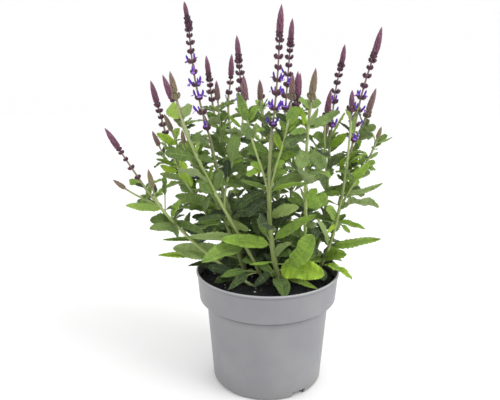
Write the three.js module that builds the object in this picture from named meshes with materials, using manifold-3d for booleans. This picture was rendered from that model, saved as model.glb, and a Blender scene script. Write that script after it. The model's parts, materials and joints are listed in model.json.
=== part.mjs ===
// A perennial salvia in flower, in the round plastic pot it is sold in.
// Millimetres, +Z up. The origin is the centre of the pot's underside, and -Y is the plant's front.
import * as THREE from "three";
import { mergeVertices } from "three/addons/utils/BufferGeometryUtils.js";
import Module from "manifold-3d";

const wasm = await Module();
wasm.setup();

// ---------------------------------------------------------------- driving dimensions

const pot = {
  height: 157,
  rimRadius: 96,
  bandFoot: 114, // height of the step below the wide band
  bodyTopRadius: 82.2,
  bodyFootRadius: 74.2,
  wall: 1.8,
  channelTop: 8.6, // how far the floor's underside stands over the ground
  floorTop: 10.4,
  facets: 32,
  drainHoles: 6,
  drainHoleRadius: 5,
  drainCircle: 39,
  slots: 3,
  slotTurn: -57, // degrees, the first slot's heading
  slotWidth: 20,
  slotHeight: 8.2,
};
const soil = { top: 145, facets: 18, gap: 1, lump: 1.1, holeRadius: 4.8, holeDepth: 12 };
// A stem's radius at its foot, then at its top.
const stemRadius = { main: [2.5, 1.5], thick: [3.3, 2.4], shoot: [1.7, 1.1] };
const joinGap = 0.35; // between a stem's cut top and the spike that stands on it

// Blades: angles are in degrees, thicknesses are half of the real one.
const blade = {
  plannedFold: 14, // how far each side of the blade is folded up
  ruledFold: 8,
  wave: 5, // the fold's rise and fall from tooth to tooth
  toothOut: 1.09,
  toothIn: 0.93,
  rootThick: 0.9,
  tipThick: 0.5,
  keel: 2, // a three-cornered blade's depth, in those thicknesses
  simpleLength: 34, // a planned leaf shorter than this has three corners
  shortStalk: 0.12, // a stalk shorter than this share of its leaf has no step of its own
  firstCut: 0.12, // where the blade's first step is, as a share of the blade
  basePower: 0.42, // the blade's outline: small powers are blunt
  tipPower: [0.45, 0.85], // a broad blade is the blunt one
};

// The room that is kept between leaves, and round what they pass.
const room = {
  leafGap: 5.4, // between the sample points of two leaves
  ownShare: 0.6, // of that gap, where both leaves grow from one stem
  stemShare: 0.3, // of that gap, to a leaf's own stem
  sampleStep: 4.6,
  rootZone: 9.5, // round a leaf's root nothing of its own stem counts
  stem: 1.2,
  shoot: 0.2,
  flowers: 4,
  buds: 2,
  overSoil: 3.4,
  insideRim: 8,
  outsideRim: 4,
  overRim: 4,
};

// Leaves that come by rule: a value at the stem's foot, then at its top. Shoots have their own.
const ruled = {
  span: [0.12, 0.98],
  shootSpan: [0.45, 0.95],
  length: [74, 34],
  shootLength: 32,
  width: [0.44, 0.36],
  stalk: [0.26, 0.08],
  shootStalk: 0.06,
  rise: [24, 46],
  droop: [55, 30],
  turnSpread: 24,
  riseSpread: 24,
  droopSpread: 30,
  rollSpread: 0.5,
};
// A leaf without room first moves its tip on the line to a point before the plant, if it is a planned one.
// Then it turns, tips up or down, and at last shrinks.
const front = { at: [-24, -757, 459], shifts: [0, 7, -7, 14, -14, 22, -22, 31, -31] };
const plannedTries = {
  turns: [0, 5, -5, 10, -10, 18, -18, 26, -26],
  tips: [0, 5, -5, 10, -10, 20, -20],
  sizes: [1, 0.86],
};
const ruledTries = { turns: [0, 15, -15, 30, -30, 45, -45], tips: [0, 10, -10, 20, -20], sizes: [1, 0.8] };

const spikeForm = {
  line: 1.2, // radius of the bare line between whorls
  calyxReach: 6.2,
  calyxRise: 5,
  waist: 3.2, // between two calyces
  waistRise: 2.6,
  neckRise: 3.6,
  topSize: 0.78, // the uppermost whorl against the lowest
  firstShare: 4, // the spacing of the whorls shrinks upwards from share to share
  shareStep: 1.7,
  budStep: 7, // height of one ring of buds
  whorlRoom: 7, // what a lone whorl needs below the bud tip
  girth: 0.125, // a bud cone's radius against its length
  raised: 1.14,
  sunk: 0.86,
};
// An open flower's throat, lip and hood tip: how far out, how far up and how wide each is.
const flowerForm = [[2.5, -0.6, 0.9], [8.5, 2.2, 2.4], [9.5, 8.5, 0]];

// Where each main stem leaves the soil, how it leans there, where its flower spike begins and ends.
// cone is the length of the tight bud tip, whorls the number of spaced rings of flowers below it,
// and open the number of those rings, from the lowest up, that are in flower.
const stems = [
  { name: "left_tall", foot: [-32, 18], lean: [-0.2, 0], top: [-75, 15, 328], tip: [-104, 12, 499],
    cone: 30, whorls: 10, open: 6, pairs: 2 },
  { name: "centre", foot: [14, -14], lean: [-0.25, -0.1], top: [3, -32, 346], tip: [12, -46, 493],
    cone: 35, whorls: 8, open: 4, pairs: 2 },
  { name: "centre_back", foot: [12, 28], lean: [0, 0.1], top: [22, 30, 358], tip: [30, 36, 480],
    cone: 30, whorls: 8, open: 4, pairs: 2 },
  { name: "right_tall", foot: [70, 14], lean: [0.5, -0.1], top: [107, 2, 322], tip: [135, -6, 469],
    cone: 36, whorls: 8, open: 4, pairs: 1 },
  { name: "right_back", foot: [58, 36], lean: [0.6, 0], top: [85, 38, 335], tip: [99, 44, 448],
    cone: 28, whorls: 7, open: 3, pairs: 1 },
  { name: "right_front", foot: [46, -14], lean: [0.05, -0.35], top: [46, -68, 388], tip: [49, -80, 424],
    cone: 32, whorls: 1, open: 0, pairs: 1 },
  { name: "left_front", foot: [-8, -12], lean: [-0.42, -0.2], top: [-108, -62, 388], tip: [-114, -68, 420],
    cone: 32, whorls: 1, open: 0, pairs: 1 },
  { name: "far_left", foot: [-26, -34], lean: [-1.5, 0.05], top: [-163, -22, 284], tip: [-203, -20, 349],
    cone: 30, whorls: 4, open: 0, pairs: 1 },
  { name: "left_back", foot: [-44, 24], lean: [-0.35, 0], top: [-134, 27, 332], tip: [-152, 30, 403],
    cone: 30, whorls: 5, open: 0, pairs: 1 },
  { name: "left_inner", foot: [-30, -2], lean: [-0.3, 0], top: [-112, 2, 356], tip: [-132, 0, 412],
    cone: 32, whorls: 2, open: 0, pairs: 1 },
  { name: "back_left", foot: [-18, 44], lean: [-0.15, 0.4], top: [-77, 98, 368], tip: [-85, 104, 432],
    cone: 30, whorls: 4, open: 0, pairs: 1 },
  { name: "back_mid", foot: [0, 56], lean: [-0.1, 0.5], top: [-55, 128, 375], tip: [-50, 138, 433],
    cone: 32, whorls: 2, open: 0, pairs: 1 },
  { name: "back_right", foot: [30, 58], lean: [0.1, 0.45], top: [45, 120, 361], tip: [49, 128, 407],
    cone: 34, whorls: 2, open: 0, pairs: 1 },
  { name: "back_far", foot: [-22, 66], lean: [0, 0.55], top: [-6, 148, 367], tip: [-9, 156, 395],
    cone: 32, whorls: 1, open: 0, pairs: 1 },
];

// Side shoots: at is how far up its main stem a shoot leaves it, from 0 at the soil to 1 at the spike.
const shoots = [
  { name: "left_front_inner", on: "left_front", at: 0.42, top: [-33, 2, 372], tip: [-40, 8, 459],
    cone: 28, whorls: 6, open: 1, pairs: 1 },
  { name: "centre_left", on: "centre", at: 0.56, top: [-29, -62, 384], tip: [-31, -66, 416],
    cone: 30, whorls: 0, open: 0, pairs: 0 },
  { name: "centre_right", on: "centre", at: 0.56, top: [23, -72, 388], tip: [24, -78, 418],
    cone: 30, whorls: 1, open: 0, pairs: 0 },
  { name: "centre_back_left", on: "centre_back", at: 0.62, top: [-10, 44, 374], tip: [-11, 46, 403],
    cone: 28, whorls: 0, open: 0, pairs: 1 },
  { name: "centre_back_right", on: "centre_back", at: 0.62, top: [36, 40, 366], tip: [39, 42, 414],
    cone: 32, whorls: 2, open: 0, pairs: 1 },
  { name: "right_back_low", on: "right_back", at: 0.6, top: [74, 14, 356], tip: [79, 14, 393],
    cone: 30, whorls: 1, open: 0, pairs: 0 },
  { name: "right_tall_front", on: "right_tall", at: 0.6, top: [94, -58, 373], tip: [93, -64, 399],
    cone: 30, whorls: 1, open: 0, pairs: 0 },
  { name: "right_tall_out", on: "right_tall", at: 0.66, top: [132, 48, 352], tip: [145, 56, 391],
    cone: 32, whorls: 2, open: 0, pairs: 1 },
  { name: "right_tall_low", on: "right_tall", at: 0.5, top: [137, -4, 331], tip: [142, -4, 348],
    cone: 17, whorls: 0, open: 0, pairs: 0 },
  { name: "left_back_out", on: "left_back", at: 0.56, top: [-150, 76, 306], tip: [-162, 86, 329],
    cone: 24, whorls: 0, open: 0, pairs: 1 },
  { name: "left_back_near", on: "left_back", at: 0.66, top: [-124, 14, 338], tip: [-134, 14, 362],
    cone: 24, whorls: 0, open: 0, pairs: 0 },
  { name: "far_left_low", on: "far_left", at: 0.76, top: [-178, -30, 273], tip: [-194, -32, 286],
    cone: 19, whorls: 0, open: 0, pairs: 0 },
  { name: "far_left_near", on: "far_left", at: 0.52, top: [-142, -46, 276], tip: [-147, -48, 303],
    cone: 24, whorls: 0, open: 0, pairs: 0 },
  { name: "left_inner_low", on: "left_inner", at: 0.6, top: [-106, -16, 326], tip: [-108, -18, 346],
    cone: 18, whorls: 0, open: 0, pairs: 0 },
  { name: "back_left_near", on: "back_left", at: 0.66, top: [-66, 44, 372], tip: [-68, 43, 402],
    cone: 26, whorls: 0, open: 0, pairs: 1 },
  { name: "back_mid_left", on: "back_mid", at: 0.6, top: [-84, 112, 322], tip: [-92, 118, 350],
    cone: 26, whorls: 0, open: 0, pairs: 1 },
  { name: "back_right_out", on: "back_right", at: 0.6, top: [82, 94, 318], tip: [90, 98, 346],
    cone: 26, whorls: 0, open: 0, pairs: 1 },
];

// Leaves set one by one, by stem: the height they leave it at, where their tip is, how wide the blade is,
// how many degrees it bends down, and how much of its length is stalk.
const plannedLeaves = {
  centre: [
    [152, [17, -82, 151], 22, 20, 0.25],
    [159, [68, -66, 173], 31, 14, 0.1],
    [169, [51, -60, 237], 22, -75, 0.3],
    [194, [-59, -72, 221], 19, 20, 0.1],
    [194, [-15, -48, 241], 7, 5, 0.4],
    [193, [-21, 5, 226], 19, 20, 0.15],
    [271, [-41, -25, 247], 14, 40, 0.15],
    [317, [-27, -35, 328], 17, 15, 0.1],
    [317, [24, -58, 319], 9, 10, 0.1],
    [271, [49, -12, 285], 15, 25, 0.1],
    [269, [48, -40, 283], 7, 15, 0.1],
    [235, [36, -50, 256], 15, 10, 0.06],
    [201, [58, -50, 246], 14, 8, 0.1],
    [174, [28, -46, 208], 10, 50, 0.08],
    [159, [-19, -52, 152], 11, 30, 0.3],
    [171, [-24, -40, 177], 4, 5, 0.2],
    [271, [-36, -50, 290], 7, 15, 0.06],
  ],
  right_front: [
    [325, [32, -84, 312], 17, 30, 0.04],
    [325, [61, -84, 311], 17, 30, 0.04],
    [352, [22, -76, 350], 8, 15, 0.1],
    [353, [82, -50, 373], 12, 10, 0.06],
    [378, [31, -79, 390], 9, 10, 0.06],
    [378, [55, -77, 388], 9, 10, 0.06],
    [355, [54, -67, 379], 7, 0, 0.1],
    [252, [70, -56, 271], 17, 15, 0.08],
    [254, [24, -28, 260], 10, 15, 0.15],
    [254, [37, -54, 281], 5, 5, 0.2],
    [215, [60, -47, 191], 10, 40, 0.15],
    [350, [15, -84, 337], 15, 20, 0.1],
    [350, [32, -76, 382], 7, 0, 0.1],
  ],
  right_tall: [
    [180, [145, -25, 206], 13, 8, 0.12],
    [165, [100, -35, 188], 16, 25, 0.06],
    [182, [62, -28, 234], 10, 15, 0.12],
    [156, [104, -60, 165], 15, 25, 0.08],
    [218, [77, 0, 243], 13, 15, 0.1],
    [220, [126, -15, 216], 8, 20, 0.1],
    [259, [150, 5, 273], 8, -35, 0.12],
    [259, [74, 12, 255], 8, 20, 0.12],
    [276, [125, -15, 304], 14, -30, 0.1],
    [297, [107, -8, 318], 10, 10, 0.08],
    [300, [118, -36, 321], 10, 10, 0.08],
    [311, [93, 25, 291], 15, 25, 0.1],
  ],
  left_front: [
    [207, [-101, -50, 217], 12, 10, 0.1],
    [195, [-81, -87, 198], 20, 25, 0.1],
    [238, [-92, -41, 236], 8, 15, 0.1],
    [275, [-83, -65, 283], 18, 10, 0.1],
    [272, [-58, -40, 299], 15, 0, 0.1],
    [317, [-124, -59, 325], 15, 10, 0.1],
    [322, [-83, -61, 339], 6, 0, 0.1],
    [319, [-67, -73, 317], 7, 10, 0.1],
    [366, [-115, -71, 372], 16, 10, 0.06],
    [365, [-90, -68, 382], 13, 5, 0.06],
    [155, [-60, -62, 169], 10, 30, 0.45],
    [155, [-50, -70, 156], 11, 30, 0.45],
  ],
  left_inner: [
    [171, [-123, -30, 195], 28, 4, 0.25],
    [195, [-137, -20, 203], 6, 10, 0.5],
    [243, [-121, -6, 258], 16, 15, 0.1],
    [224, [-25, -22, 217], 11, 0, 0.04],
    [161, [-84, -36, 173], 16, 15, 0.15],
    [150, [-69, -50, 151], 13, 10, 0.15],
  ],
  far_left: [
    [246, [-179, -35, 254], 11, 0, 0.04],
    [233, [-109, -38, 262], 11, 10, 0.1],
    [225, [-148, -50, 228], 12, 5, 0.06],
    [229, [-111, -65, 222], 10, 30, 0.1],
    [230, [-79, -62, 226], 11, 20, 0.15],
    [241, [-129, -34, 293], 9, 10, 0.5],
  ],
  left_back: [
    [290, [-145, 5, 305], 6, 15, 0.2],
    [283, [-141, 12, 295], 9, -20, 0.2],
    [260, [-113, 16, 302], 19, 10, 0.06],
    [167, [-144, -20, 182], 10, 10, 0.35],
    [160, [-104, -30, 171], 8, 15, 0.2],
    [272, [-142, 10, 284], 9, 15, 0.1],
  ],
  left_back_near: [
    [320, [-141, -6, 340], 11, 15, 0.1],
    [327, [-117, 18, 343], 10, 10, 0.1],
  ],
  left_front_inner: [
    [303, [-41, -21, 341], 18, 10, 0.1],
    [284, [-52, -14, 308], 11, 10, 0.1],
    [346, [-52, 10, 362], 5, -10, 0.08],
  ],
  right_back: [
    [313, [60, 24, 334], 18, 15, 0.1],
    [313, [103, 28, 334], 12, 10, 0.1],
    [281, [84, 24, 305], 11, 10, 0.1],
    [327, [99, 20, 362], 5, 10, 0.08],
  ],
  right_tall_low: [
    [327, [130, -8, 341], 3, 5, 0.1],
    [327, [157, -4, 335], 3, -20, 0.1],
    [306, [139, -8, 316], 5, 10, 0.08],
    [274, [96, -10, 295], 7, 10, 0.1],
  ],
  centre_left: [
    [361, [-37, -72, 397], 12, 0, 0.06],
    [338, [-32, -72, 362], 12, 10, 0.1],
    [338, [-16, -56, 360], 7, 5, 0.1],
    [361, [-15, -68, 382], 9, 10, 0.08],
  ],
  centre_right: [
    [359, [31, -78, 381], 14, 10, 0.08],
  ],
  right_tall_out: [
    [334, [142, 30, 344], 11, 10, 0.06],
  ],
  back_left: [
    [290, [-81, 70, 328], 12, 10, 0.08],
  ],
  back_mid: [
    [294, [-44, 100, 325], 12, 10, 0.08],
  ],
  back_left_near: [
    [346, [-81, 40, 360], 10, 10, 0.08],
    [346, [-56, 48, 360], 10, 10, 0.08],
  ],
};

// ---------------------------------------------------------------- small helpers

const degrees = Math.PI / 180;
const up = new THREE.Vector3(0, 0, 1);
const vec = (p) => new THREE.Vector3(...p);
const lerp = THREE.MathUtils.lerp;

// A closed three.js geometry as a manifold-3d solid: corners merged, flat slivers dropped, faces outwards.
function solidOf(geometry) {
  const bare = geometry.index ? geometry.toNonIndexed() : geometry;
  const clean = new THREE.BufferGeometry().setAttribute("position", bare.getAttribute("position"));
  const merged = mergeVertices(clean, 1e-4);
  const corners = merged.index.array;
  const kept = [];
  for (let i = 0; i < corners.length; i += 3) {
    const [a, b, c] = [corners[i], corners[i + 1], corners[i + 2]];
    if (a !== b && b !== c && c !== a) kept.push(a, b, c);
  }
  const shell = { numProp: 3, vertProperties: merged.attributes.position.array };
  const made = new wasm.Manifold(new wasm.Mesh({ ...shell, triVerts: new Uint32Array(kept) }));
  if (made.volume() > 0) return made;
  for (let i = 0; i < kept.length; i += 3) [kept[i + 1], kept[i + 2]] = [kept[i + 2], kept[i + 1]];
  return new wasm.Manifold(new wasm.Mesh({ ...shell, triVerts: new Uint32Array(kept) }));
}

function meshOf(name, solid, material) {
  const { vertProperties, triVerts } = solid.getMesh();
  const geometry = new THREE.BufferGeometry();
  geometry.setAttribute("position", new THREE.BufferAttribute(new Float32Array(vertProperties), 3));
  geometry.setIndex(new THREE.BufferAttribute(new Uint32Array(triVerts), 1));
  geometry.computeVertexNormals();
  const mesh = new THREE.Mesh(geometry, material);
  mesh.name = name;
  return mesh;
}

// A closed limb with `sides` corners round it and `rings` steps along it. place(ring, a, b) puts the
// point (a, b) of the unit circle on that ring, and a = b = 0 is the ring's middle. A pointed limb
// closes to one point on its last ring.
function limb(sides, rings, pointed, place) {
  const shape = new THREE.CylinderGeometry(pointed ? 0 : 1, 1, 1, sides, rings);
  if (sides % 2 === 0) mirrorOddSides(shape, sides, rings, pointed);
  const at = shape.getAttribute("position");
  for (let i = 0; i < at.count; i++) {
    const ring = Math.round((at.getY(i) + 0.5) * rings);
    const reach = Math.hypot(at.getX(i), at.getZ(i));
    const scale = reach < 1e-6 ? 0 : 1 / reach;
    const p = place(ring, at.getX(i) * scale, at.getZ(i) * scale);
    at.setXYZ(i, p.x, p.y, p.z);
  }
  return solidOf(shape);
}

// Splits the quads of every other side along their other diagonal. A thin blade's upper and lower face are
// then split alike, and never cross.
function mirrorOddSides(shape, sides, rings, pointed) {
  const corners = shape.getIndex().array;
  let at = 0;
  for (let side = 0; side < sides; side++) {
    for (let ring = 0; ring < rings; ring++) {
      if (pointed && ring === 0) {
        at += 3; // the tip has one triangle to a side
        continue;
      }
      const [a, b, d, , c] = corners.slice(at, at + 6);
      if (side % 2) corners.set([a, b, c, a, c, d], at);
      at += 6;
    }
  }
}

// Seeded random numbers from 0 to 1, the same on every run.
function drawer(seed) {
  const modulus = 2147483647;
  let state = ((seed + 11) * 48271) % modulus;
  const next = () => {
    state = (state * 16807) % modulus;
    return state / modulus;
  };
  next();
  next();
  return next;
}

// Two directions square to a line: across and over.
function squareTo(along) {
  const across = along.clone().cross(new THREE.Vector3(1, 0, 0)).normalize();
  const over = along.clone().cross(across).normalize();
  return { across, over };
}

// ---------------------------------------------------------------- pot and soil

function lathed(profile, facets) {
  const turned = new THREE.LatheGeometry(profile.map(([r, z]) => new THREE.Vector2(r, z)), facets);
  return turned.rotateX(Math.PI / 2);
}

function makePot() {
  const { height, rimRadius, bandFoot, bodyTopRadius, bodyFootRadius, wall, channelTop, floorTop } = pot;
  const outside = [
    [0, 0], [20, 0], [22, channelTop], [bodyFootRadius - 5.2, channelTop], // centre pad, raised floor
    [bodyFootRadius - 4.8, 0], [bodyFootRadius - 3, 0], [bodyFootRadius, 4], // the skirt that it stands on
    [bodyTopRadius, bandFoot - 1], [bodyTopRadius + 1.8, bandFoot],
    [rimRadius - 4.2, bandFoot + 5], // the band and its sloping foot
    [rimRadius - 1.6, height - 6], [rimRadius, height - 4.6], // the lip round the rim
    [rimRadius, height - 0.8], [rimRadius - 0.8, height],
  ];
  const inside = [
    [rimRadius - 2.4, height], [rimRadius - 4.2 - wall, bandFoot + 5.6],
    [bodyTopRadius - wall, bandFoot + 0.6], [bodyFootRadius - wall, floorTop], [0, floorTop],
  ];
  let shell = solidOf(lathed([...outside, ...inside], pot.facets));
  for (let i = 0; i < pot.slots; i++) {
    const cutter = new THREE.BoxGeometry(14, pot.slotWidth, pot.slotHeight + 1);
    cutter.translate(bodyFootRadius - 1.2, 0, (pot.slotHeight - 1) / 2);
    cutter.rotateZ((pot.slotTurn + (i * 360) / pot.slots) * degrees);
    shell = shell.subtract(solidOf(cutter));
  }
  for (let i = 0; i < pot.drainHoles; i++) {
    const cutter = new THREE.CylinderGeometry(pot.drainHoleRadius, pot.drainHoleRadius, 40, 6);
    cutter.rotateX(Math.PI / 2).translate(pot.drainCircle, 0, 0);
    cutter.rotateZ((i * 360 * degrees) / pot.drainHoles);
    shell = shell.subtract(solidOf(cutter));
  }
  return shell;
}

// The soil fills the pot to just below its rim. Its top is lumpy, with a plain hole for each stem.
function makeSoil() {
  const { bandFoot, rimRadius, bodyTopRadius, bodyFootRadius, wall, floorTop } = pot;
  const slack = wall + soil.gap;
  const profile = [
    [0, floorTop + soil.gap], [bodyFootRadius - slack, floorTop + soil.gap],
    [bodyTopRadius - slack, bandFoot], [rimRadius - 4.6 - slack, bandFoot + 12],
    [rimRadius - 3.4 - slack, soil.top - 2], [78, soil.top], [40, soil.top], [0, soil.top],
  ];
  const turned = lathed(profile, soil.facets);
  const at = turned.getAttribute("position");
  for (let i = 0; i < at.count; i++) {
    const [x, y, z] = [at.getX(i), at.getY(i), at.getZ(i)];
    const lumps = Math.sin(x * 0.21 + 1) * Math.cos(y * 0.17) + Math.sin((x + y) * 0.37) * 0.6;
    if (z > soil.top - 1 && Math.hypot(x, y) > 1) at.setZ(i, z + soil.lump * lumps);
  }
  let block = solidOf(turned);
  for (const { foot } of stems) {
    const hole = new THREE.CylinderGeometry(soil.holeRadius, soil.holeRadius, soil.holeDepth * 2, 6);
    hole.rotateX(Math.PI / 2).translate(foot[0], foot[1], soil.top - 2);
    block = block.subtract(solidOf(hole));
  }
  return block;
}

// ---------------------------------------------------------------- stems

// A stem's own line: a cubic curve that leaves its foot along its lean and arrives along its spike.
function stemLine({ foot, lean, top, tip }) {
  const [start, end] = [new THREE.Vector3(foot[0], foot[1], soil.top + 3), vec(top)];
  const third = start.distanceTo(end) / 3;
  const rise = new THREE.Vector3(lean[0], lean[1], 1).normalize();
  const arrive = vec(tip).sub(end).normalize();
  const near = start.clone().addScaledVector(rise, third);
  const far = end.clone().addScaledVector(arrive, -third);
  return new THREE.CubicBezierCurve3(start, near, far, end);
}

// A side shoot leaves its main stem at an angle and turns up into its spike.
function shootLine({ at, top, tip }, parentLine) {
  const [start, end] = [parentLine.getPoint(at), vec(top)];
  const chord = end.clone().sub(start);
  const length = chord.length();
  const out = chord.normalize().multiplyScalar(0.6).addScaledVector(lineDirection(parentLine, at), 0.4);
  out.normalize();
  const arrive = vec(tip).sub(end).normalize();
  const handle = length * 0.35;
  const near = start.clone().addScaledVector(out, handle);
  const far = end.clone().addScaledVector(arrive, -handle);
  return new THREE.CubicBezierCurve3(start, near, far, end);
}

function lineDirection(line, t) {
  const step = 0.001;
  const [from, to] = [Math.max(t - step, 0), Math.min(t + step, 1)];
  return line.getPoint(to).sub(line.getPoint(from)).normalize();
}

// The place along a rising line where it reaches a height.
function placeAtHeight(line, height) {
  let [low, high] = [0, 1];
  for (let i = 0; i < 24; i++) {
    const middle = (low + high) / 2;
    if (line.getPoint(middle).z < height) low = middle;
    else high = middle;
  }
  return low;
}

// The square stem, thinner towards its top. A main stem goes on straight down into its hole in the soil.
function stemSolid(line, radii, steps, sunk) {
  return limb(4, sunk ? steps + 1 : steps, false, (ring, a, b) => {
    const step = sunk ? ring - 1 : ring;
    const buried = step < 0;
    const t = Math.max(step, 0) / steps;
    const centre = line.getPoint(t);
    const { across, over } = squareTo(buried ? up : lineDirection(line, t));
    if (buried) centre.z -= sunk;
    const radius = lerp(...radii, t);
    return centre.addScaledVector(across, a * radius).addScaledVector(over, b * radius);
  });
}

// ---------------------------------------------------------------- leaves

// A leaf's midrib is an arc in the upright plane of its heading: it rises at `rise` degrees and turns
// down by `droop` degrees over its length. The blade's upper face is turned up and outwards.
function midrib(leaf, t) {
  const e0 = leaf.rise * degrees;
  const bend = (Math.abs(leaf.droop) < 1 ? 1 : leaf.droop) * degrees;
  const e = e0 - bend * t;
  const run = ((Math.sin(e0) - Math.sin(e)) / bend) * leaf.length;
  const lift = ((Math.cos(e) - Math.cos(e0)) / bend) * leaf.length;
  const [cx, cy] = [Math.cos(leaf.heading * degrees), Math.sin(leaf.heading * degrees)];
  const point = leaf.root.clone().add(new THREE.Vector3(run * cx, run * cy, lift));
  const along = new THREE.Vector3(Math.cos(e) * cx, Math.cos(e) * cy, Math.sin(e));
  const level = new THREE.Vector3(-cy, cx, 0);
  const upright = along.clone().cross(level);
  const side = level.multiplyScalar(Math.cos(leaf.roll)).addScaledVector(upright, Math.sin(leaf.roll));
  return { point, side, face: along.clone().cross(side) };
}

// The roll that turns a leaf's upper face as far as it goes towards the light.
function rollToLight(light, heading, rise) {
  const [cx, cy] = [Math.cos(heading * degrees), Math.sin(heading * degrees)];
  const flat = Math.cos(rise * degrees);
  const along = new THREE.Vector3(flat * cx, flat * cy, Math.sin(rise * degrees));
  const level = new THREE.Vector3(-cy, cx, 0);
  return Math.atan2(-light.dot(level), light.dot(along.cross(level)));
}

// Half the blade's width at t, from the stalk to the tip, before its edge is cut into teeth.
function halfWidth(leaf, t) {
  const share = (t - leaf.stalk) / (1 - leaf.stalk);
  if (share <= 0) return 0;
  const base = blade.basePower;
  const tip = THREE.MathUtils.clamp(1 - leaf.width / leaf.length, ...blade.tipPower);
  const peak = (base / (base + tip)) ** base * (tip / (base + tip)) ** tip;
  return (leaf.width / 2) * ((share ** base * (1 - share) ** tip) / peak);
}

// How many steps a blade has, by its length.
function bladeSteps(leaf) {
  const length = leaf.length * (1 - leaf.stalk);
  if (length > 55 && leaf.corners > 3) return 6;
  if (length > 34 && leaf.corners > 3) return 4;
  return length > 23 ? 3 : 2;
}

// The blade is folded up a little along its rib, and its rounded teeth push the edge in and out. A blade
// of three corners is flat on top and keeled below.
function leafSolid(leaf) {
  const steps = bladeSteps(leaf);
  const cuts = leaf.stalk > blade.shortStalk ? [0, leaf.stalk] : [0];
  for (let i = 0; i < steps; i++) cuts.push(lerp(leaf.stalk, 1, lerp(blade.firstCut, 1, i / steps)));
  cuts.push(1);
  return limb(leaf.corners, cuts.length - 1, true, (ring, a, b) => {
    const t = cuts[ring];
    const { point, side, face } = midrib(leaf, t);
    const inStalk = t <= leaf.stalk;
    const isOut = ring % 2 === 1;
    const reach = halfWidth(leaf, t) * (isOut ? blade.toothOut : blade.toothIn);
    const edge = inStalk ? blade.rootThick : Math.max(reach, 0.2);
    const fold = inStalk ? 0 : (leaf.fold + (isOut ? blade.wave : -blade.wave)) * degrees;
    const thick = inStalk ? blade.rootThick : lerp(blade.rootThick, blade.tipThick, t);
    const isMiddle = Math.abs(a) < 0.01;
    const wide = isMiddle ? 0 : edge;
    const keeled = isMiddle ? -blade.keel : 0;
    const level = leaf.corners === 3 ? keeled : Math.sign(Math.round(b));
    point.addScaledVector(side, Math.sign(a) * wide * Math.cos(fold));
    return point.addScaledVector(face, wide * Math.sin(fold) + level * thick);
  });
}

// Points over a leaf, close enough together to stand for it where leaves are kept apart.
function leafSamples(leaf) {
  const points = [];
  const steps = Math.ceil(leaf.length / room.sampleStep);
  for (let i = 1; i <= steps; i++) {
    const t = i / steps;
    const { point, side, face } = midrib(leaf, t);
    const wide = halfWidth(leaf, t);
    const rows = Math.ceil((2 * wide) / room.sampleStep);
    for (let j = 0; j <= rows; j++) {
      const w = rows ? ((2 * j) / rows - 1) * wide : 0;
      const lift = Math.abs(w) * Math.sin(leaf.fold * degrees);
      points.push(point.clone().addScaledVector(side, w).addScaledVector(face, lift));
    }
  }
  return points;
}

// What a leaf keeps clear of: the stems, the spikes and the leaves placed before it.
const obstacles = [];

function addObstacle(points, radius, plant, root, isSpike) {
  const centre = points[0].clone().lerp(points[points.length - 1], 0.5);
  const reach = Math.max(...points.map((p) => p.distanceTo(centre)));
  obstacles.push({ points, radius, plant, root, isSpike, centre, reach });
}

function clearsPot(points) {
  return points.every((p) => {
    const r = Math.hypot(p.x, p.y);
    if (r < pot.rimRadius && p.z < soil.top + room.overSoil) return false;
    if (p.z > pot.height + room.overRim) return true;
    return r < pot.rimRadius - room.insideRim || r > pot.rimRadius + room.outsideRim;
  });
}

function isClear(leaf, plant) {
  const points = leafSamples(leaf);
  if (!clearsPot(points)) return false;
  const middle = midrib(leaf, 0.5).point;
  const offRoot = (p) => p.distanceTo(leaf.root) > room.rootZone;
  const clearOfRoot = points.filter(offRoot);
  const span = Math.max(...points.map((p) => p.distanceTo(middle)));
  for (const o of obstacles) {
    if (middle.distanceTo(o.centre) > span + o.reach + o.radius + room.leafGap) continue;
    const own = o.plant === plant;
    const share = !own || o.isSpike ? 1 : o.root ? room.ownShare : room.stemShare;
    const limit = (share * room.leafGap + o.radius) ** 2;
    const near = own ? clearOfRoot : points;
    const far = own && o.root ? o.points.filter(offRoot) : o.points;
    if (near.some((p) => far.some((q) => p.distanceToSquared(q) < limit))) return false;
  }
  return true;
}

// Turns and tips a leaf, and at last shortens it, until it is clear. Null where no room is left.
function settled(leaf, plant, { turns, tips, sizes }) {
  for (const size of sizes) {
    for (const turn of turns) {
      for (const tip of tips) {
        const tried = { ...leaf, heading: leaf.heading + turn, rise: leaf.rise + tip };
        tried.length *= size;
        tried.width *= size;
        if (isClear(tried, plant)) return tried;
      }
    }
  }
  return null;
}

// ---------------------------------------------------------------- the plant's plan

const lines = new Map();
for (const stem of stems) lines.set(stem.name, stemLine(stem));
for (const shoot of shoots) lines.set(shoot.name, shootLine(shoot, lines.get(shoot.on)));

function spaced(from, to, pointAt) {
  const count = Math.ceil(from.distanceTo(to) / 4);
  return Array.from({ length: count + 1 }, (_, i) => pointAt(i / count));
}

function addStemObstacles(item, radius, plant) {
  const line = lines.get(item.name);
  const [low, high] = [vec(item.top), vec(item.tip)];
  addObstacle(spaced(line.getPoint(0), low, (t) => line.getPoint(t)), radius, plant, null, false);
  const girth = item.whorls > 2 ? room.flowers : room.buds;
  addObstacle(spaced(low, high, (t) => low.clone().lerp(high, t)), girth, plant, null, true);
}

for (const stem of stems) addStemObstacles(stem, room.stem, stem.name);
for (const shoot of shoots) addStemObstacles(shoot, room.shoot, shoot.on);

const plantOf = (name) => shoots.find((shoot) => shoot.name === name)?.on ?? name;

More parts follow.
